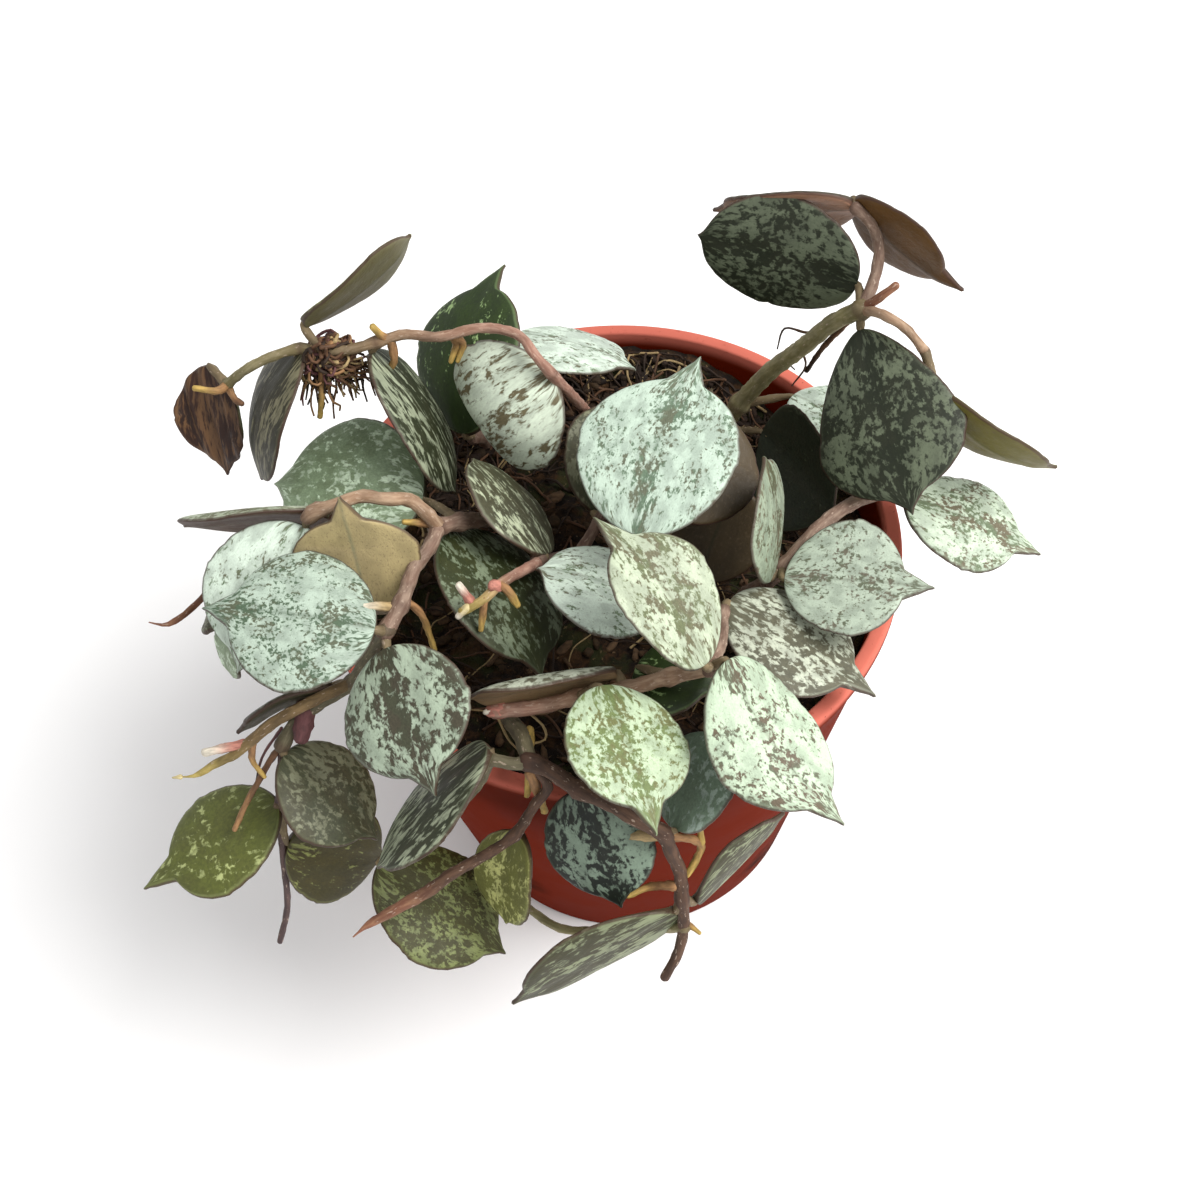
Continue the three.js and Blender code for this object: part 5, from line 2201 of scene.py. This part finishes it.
            Root((0.7, 0.5), ((-19, -22, 93), (-20, -21, 95)), Tint.PINK, Tint.WHITE),
            Root((0.6, 0.4), ((-17, -22, 93), (-18, -24, 89))),
            Root((0.65, 0.45), ((-19.4, -22.8, 92.4),
                 (-20.6, -23.4, 91.6)), Tint.PALE, Tint.WHITE),
            Root((0.9, 0.7), ((-15.4, -20.4, 93.3), (-15.8, -20.8, 94)), Tint.PINK, Tint.PINK),
        ),
    ),
    Vine(
        node="vine_front",
        stems={
            "trunk": Stem((1.2, 1.1), ((-18, -19, 58), (-17, -22, 68), (-16, -30, 76),
                (-14, -36, 81), (-13, -41, 83)), Bark.GREY),
            "leftBranch": Stem((0.9, 0.75), ((-13, -41, 83), (-15, -41, 83),
                (-18, -40, 83)), Bark.GREY),
            "leftTail": Stem((0.7, 0.6), ((-18, -40, 83), (-20, -40, 77), (-24, -40, 70),
                (-30, -42, 64), (-35, -42, 61)), Bark.GREY),
            "overRim": Stem((1.1, 1, 0.9, 0.65), ((-13, -41, 83), (-11, -42, 83), (-7, -45, 82),
                (-3, -47, 81), (0, -49, 80), (3, -50, 78), (4, -51, 74), (5, -52, 70),
                (5, -54, 66), (5, -56, 61), (4, -58, 57), (2, -60, 54)), Bark.MAROON),
            "redShoot": Stem((0.7, 0.7, 0.75, 0.9, 0.5), ((-13, -41, 83), (-11, -43, 80),
                (-13, -44, 77), (-16, -46, 73), (-19, -47, 71), (-22, -48, 70), (-25, -49, 69),
                (-28, -50, 67), (-31, -51, 66), (-34, -52, 65), (-37, -53, 64),
                (-39, -54, 63)), Bark.MAROON, Bark.RED, True),
            "lowTwig": Stem((0.7, 0.6), ((5, -56, 61), (0, -53, 54), (-6, -51, 50), (-12, -50, 50),
                (-17, -46, 50)), Bark.OLIVE),
        },
        leaves=(
            Leaf(Look.STREAKED, "leftBranch", 2, (-18, -39, 84), (-34, -49, 73), turn=40, width=18,
                 point=0.06),
            Leaf(Look.OLIVE_MOTTLED, "leftTail", 4, (-36, -43, 61), (-20, -53, 50), turn=-10,
                 width=17.5),
            Leaf(Look.LIGHT_GREEN, "redShoot", 3, (-16, -43, 67), (-19, -51, 56), turn=35,
                 width=13, cup=1, point=0.06),
            Leaf(Look.TEAL, "overRim", 2, (-7, -43, 78), (-3, -54, 65), turn=35, width=15.5),
            Leaf(Look.TEAL_PLAIN, "overRim", 5, (5, -49, 76), (12, -38, 83), turn=-30, width=14,
                 cup=0),
            Leaf(Look.STREAKED_LIGHT, "overRim", 8, (4, -55, 64), (-19, -61, 52), turn=-95,
                 width=18, arch=0),
            Leaf(Look.STREAKED_LIGHT, "overRim", 8, (7, -53, 62), (20, -43, 66), turn=100,
                 width=18, arch=0, cup=-1),
        ),
        roots=(
            Root((0.8, 0.5), ((-13, -42, 82), (-12, -43, 73))),
            Root((0.7, 0.4), ((-13, -41, 82), (-14, -42, 76)), Tint.GOLD),
            Root((0.6, 0.5), ((3, -50, 77), (7, -50, 75), (8, -50, 73), (7, -51, 70),
                 (6, -52, 69))),
            Root((0.8, 0.7), ((3, -50, 77), (-2, -48, 74)), Tint.STRAW, Tint.STRAW),
            Root((0.7, 0.4), ((4, -53, 68), (1, -52, 66), (-2, -53, 66))),
            Root((0.5, 0.3), ((5, -55, 61), (7, -57, 61))),
            Root((0.6, 0.5), ((-13, -34, 79), (-13, -35, 77)), Tint.GOLD),
            Root((0.5, 0.4), ((2.2, -59.7, 54.4), (1.9, -60.0, 53.8)), Tint.WHITE, Tint.WHITE),
            Root((0.2, 0.15), ((-17, -32, 81), (-17, -32, 79), (-16, -34, 77),
                 (-15, -35, 76)), Tint.STRAW, Tint.STRAW),
            Root((0.2, 0.15), ((-13, -33, 82), (-12, -33, 80), (-11, -34, 79), (-11, -35, 78),
                 (-13, -35, 77)), Tint.STRAW, Tint.STRAW),
            Root((0.5, 0.3), ((8, -50, 74), (8, -49, 76), (8, -49, 78)), Tint.GOLD, Tint.PALE),
        ),
    ),
)


def main() -> None:
    """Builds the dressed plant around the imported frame."""
    logging.basicConfig(level=logging.INFO, format="%(name)s: %(message)s")
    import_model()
    Studio().build()
    pot = Pot()
    pot.build()
    finishes = Finishes(LeafSkin().material(), BarkSkin().material(), RootSkin().material())
    mix = PottingMix(pot)
    mix.build()
    mix.build_chips()
    mix.build_fibres(finishes.root)
    for number, vine in enumerate(VINES, start=1):
        vine.dress(finishes, number)


if __name__ == "__main__":
    main()
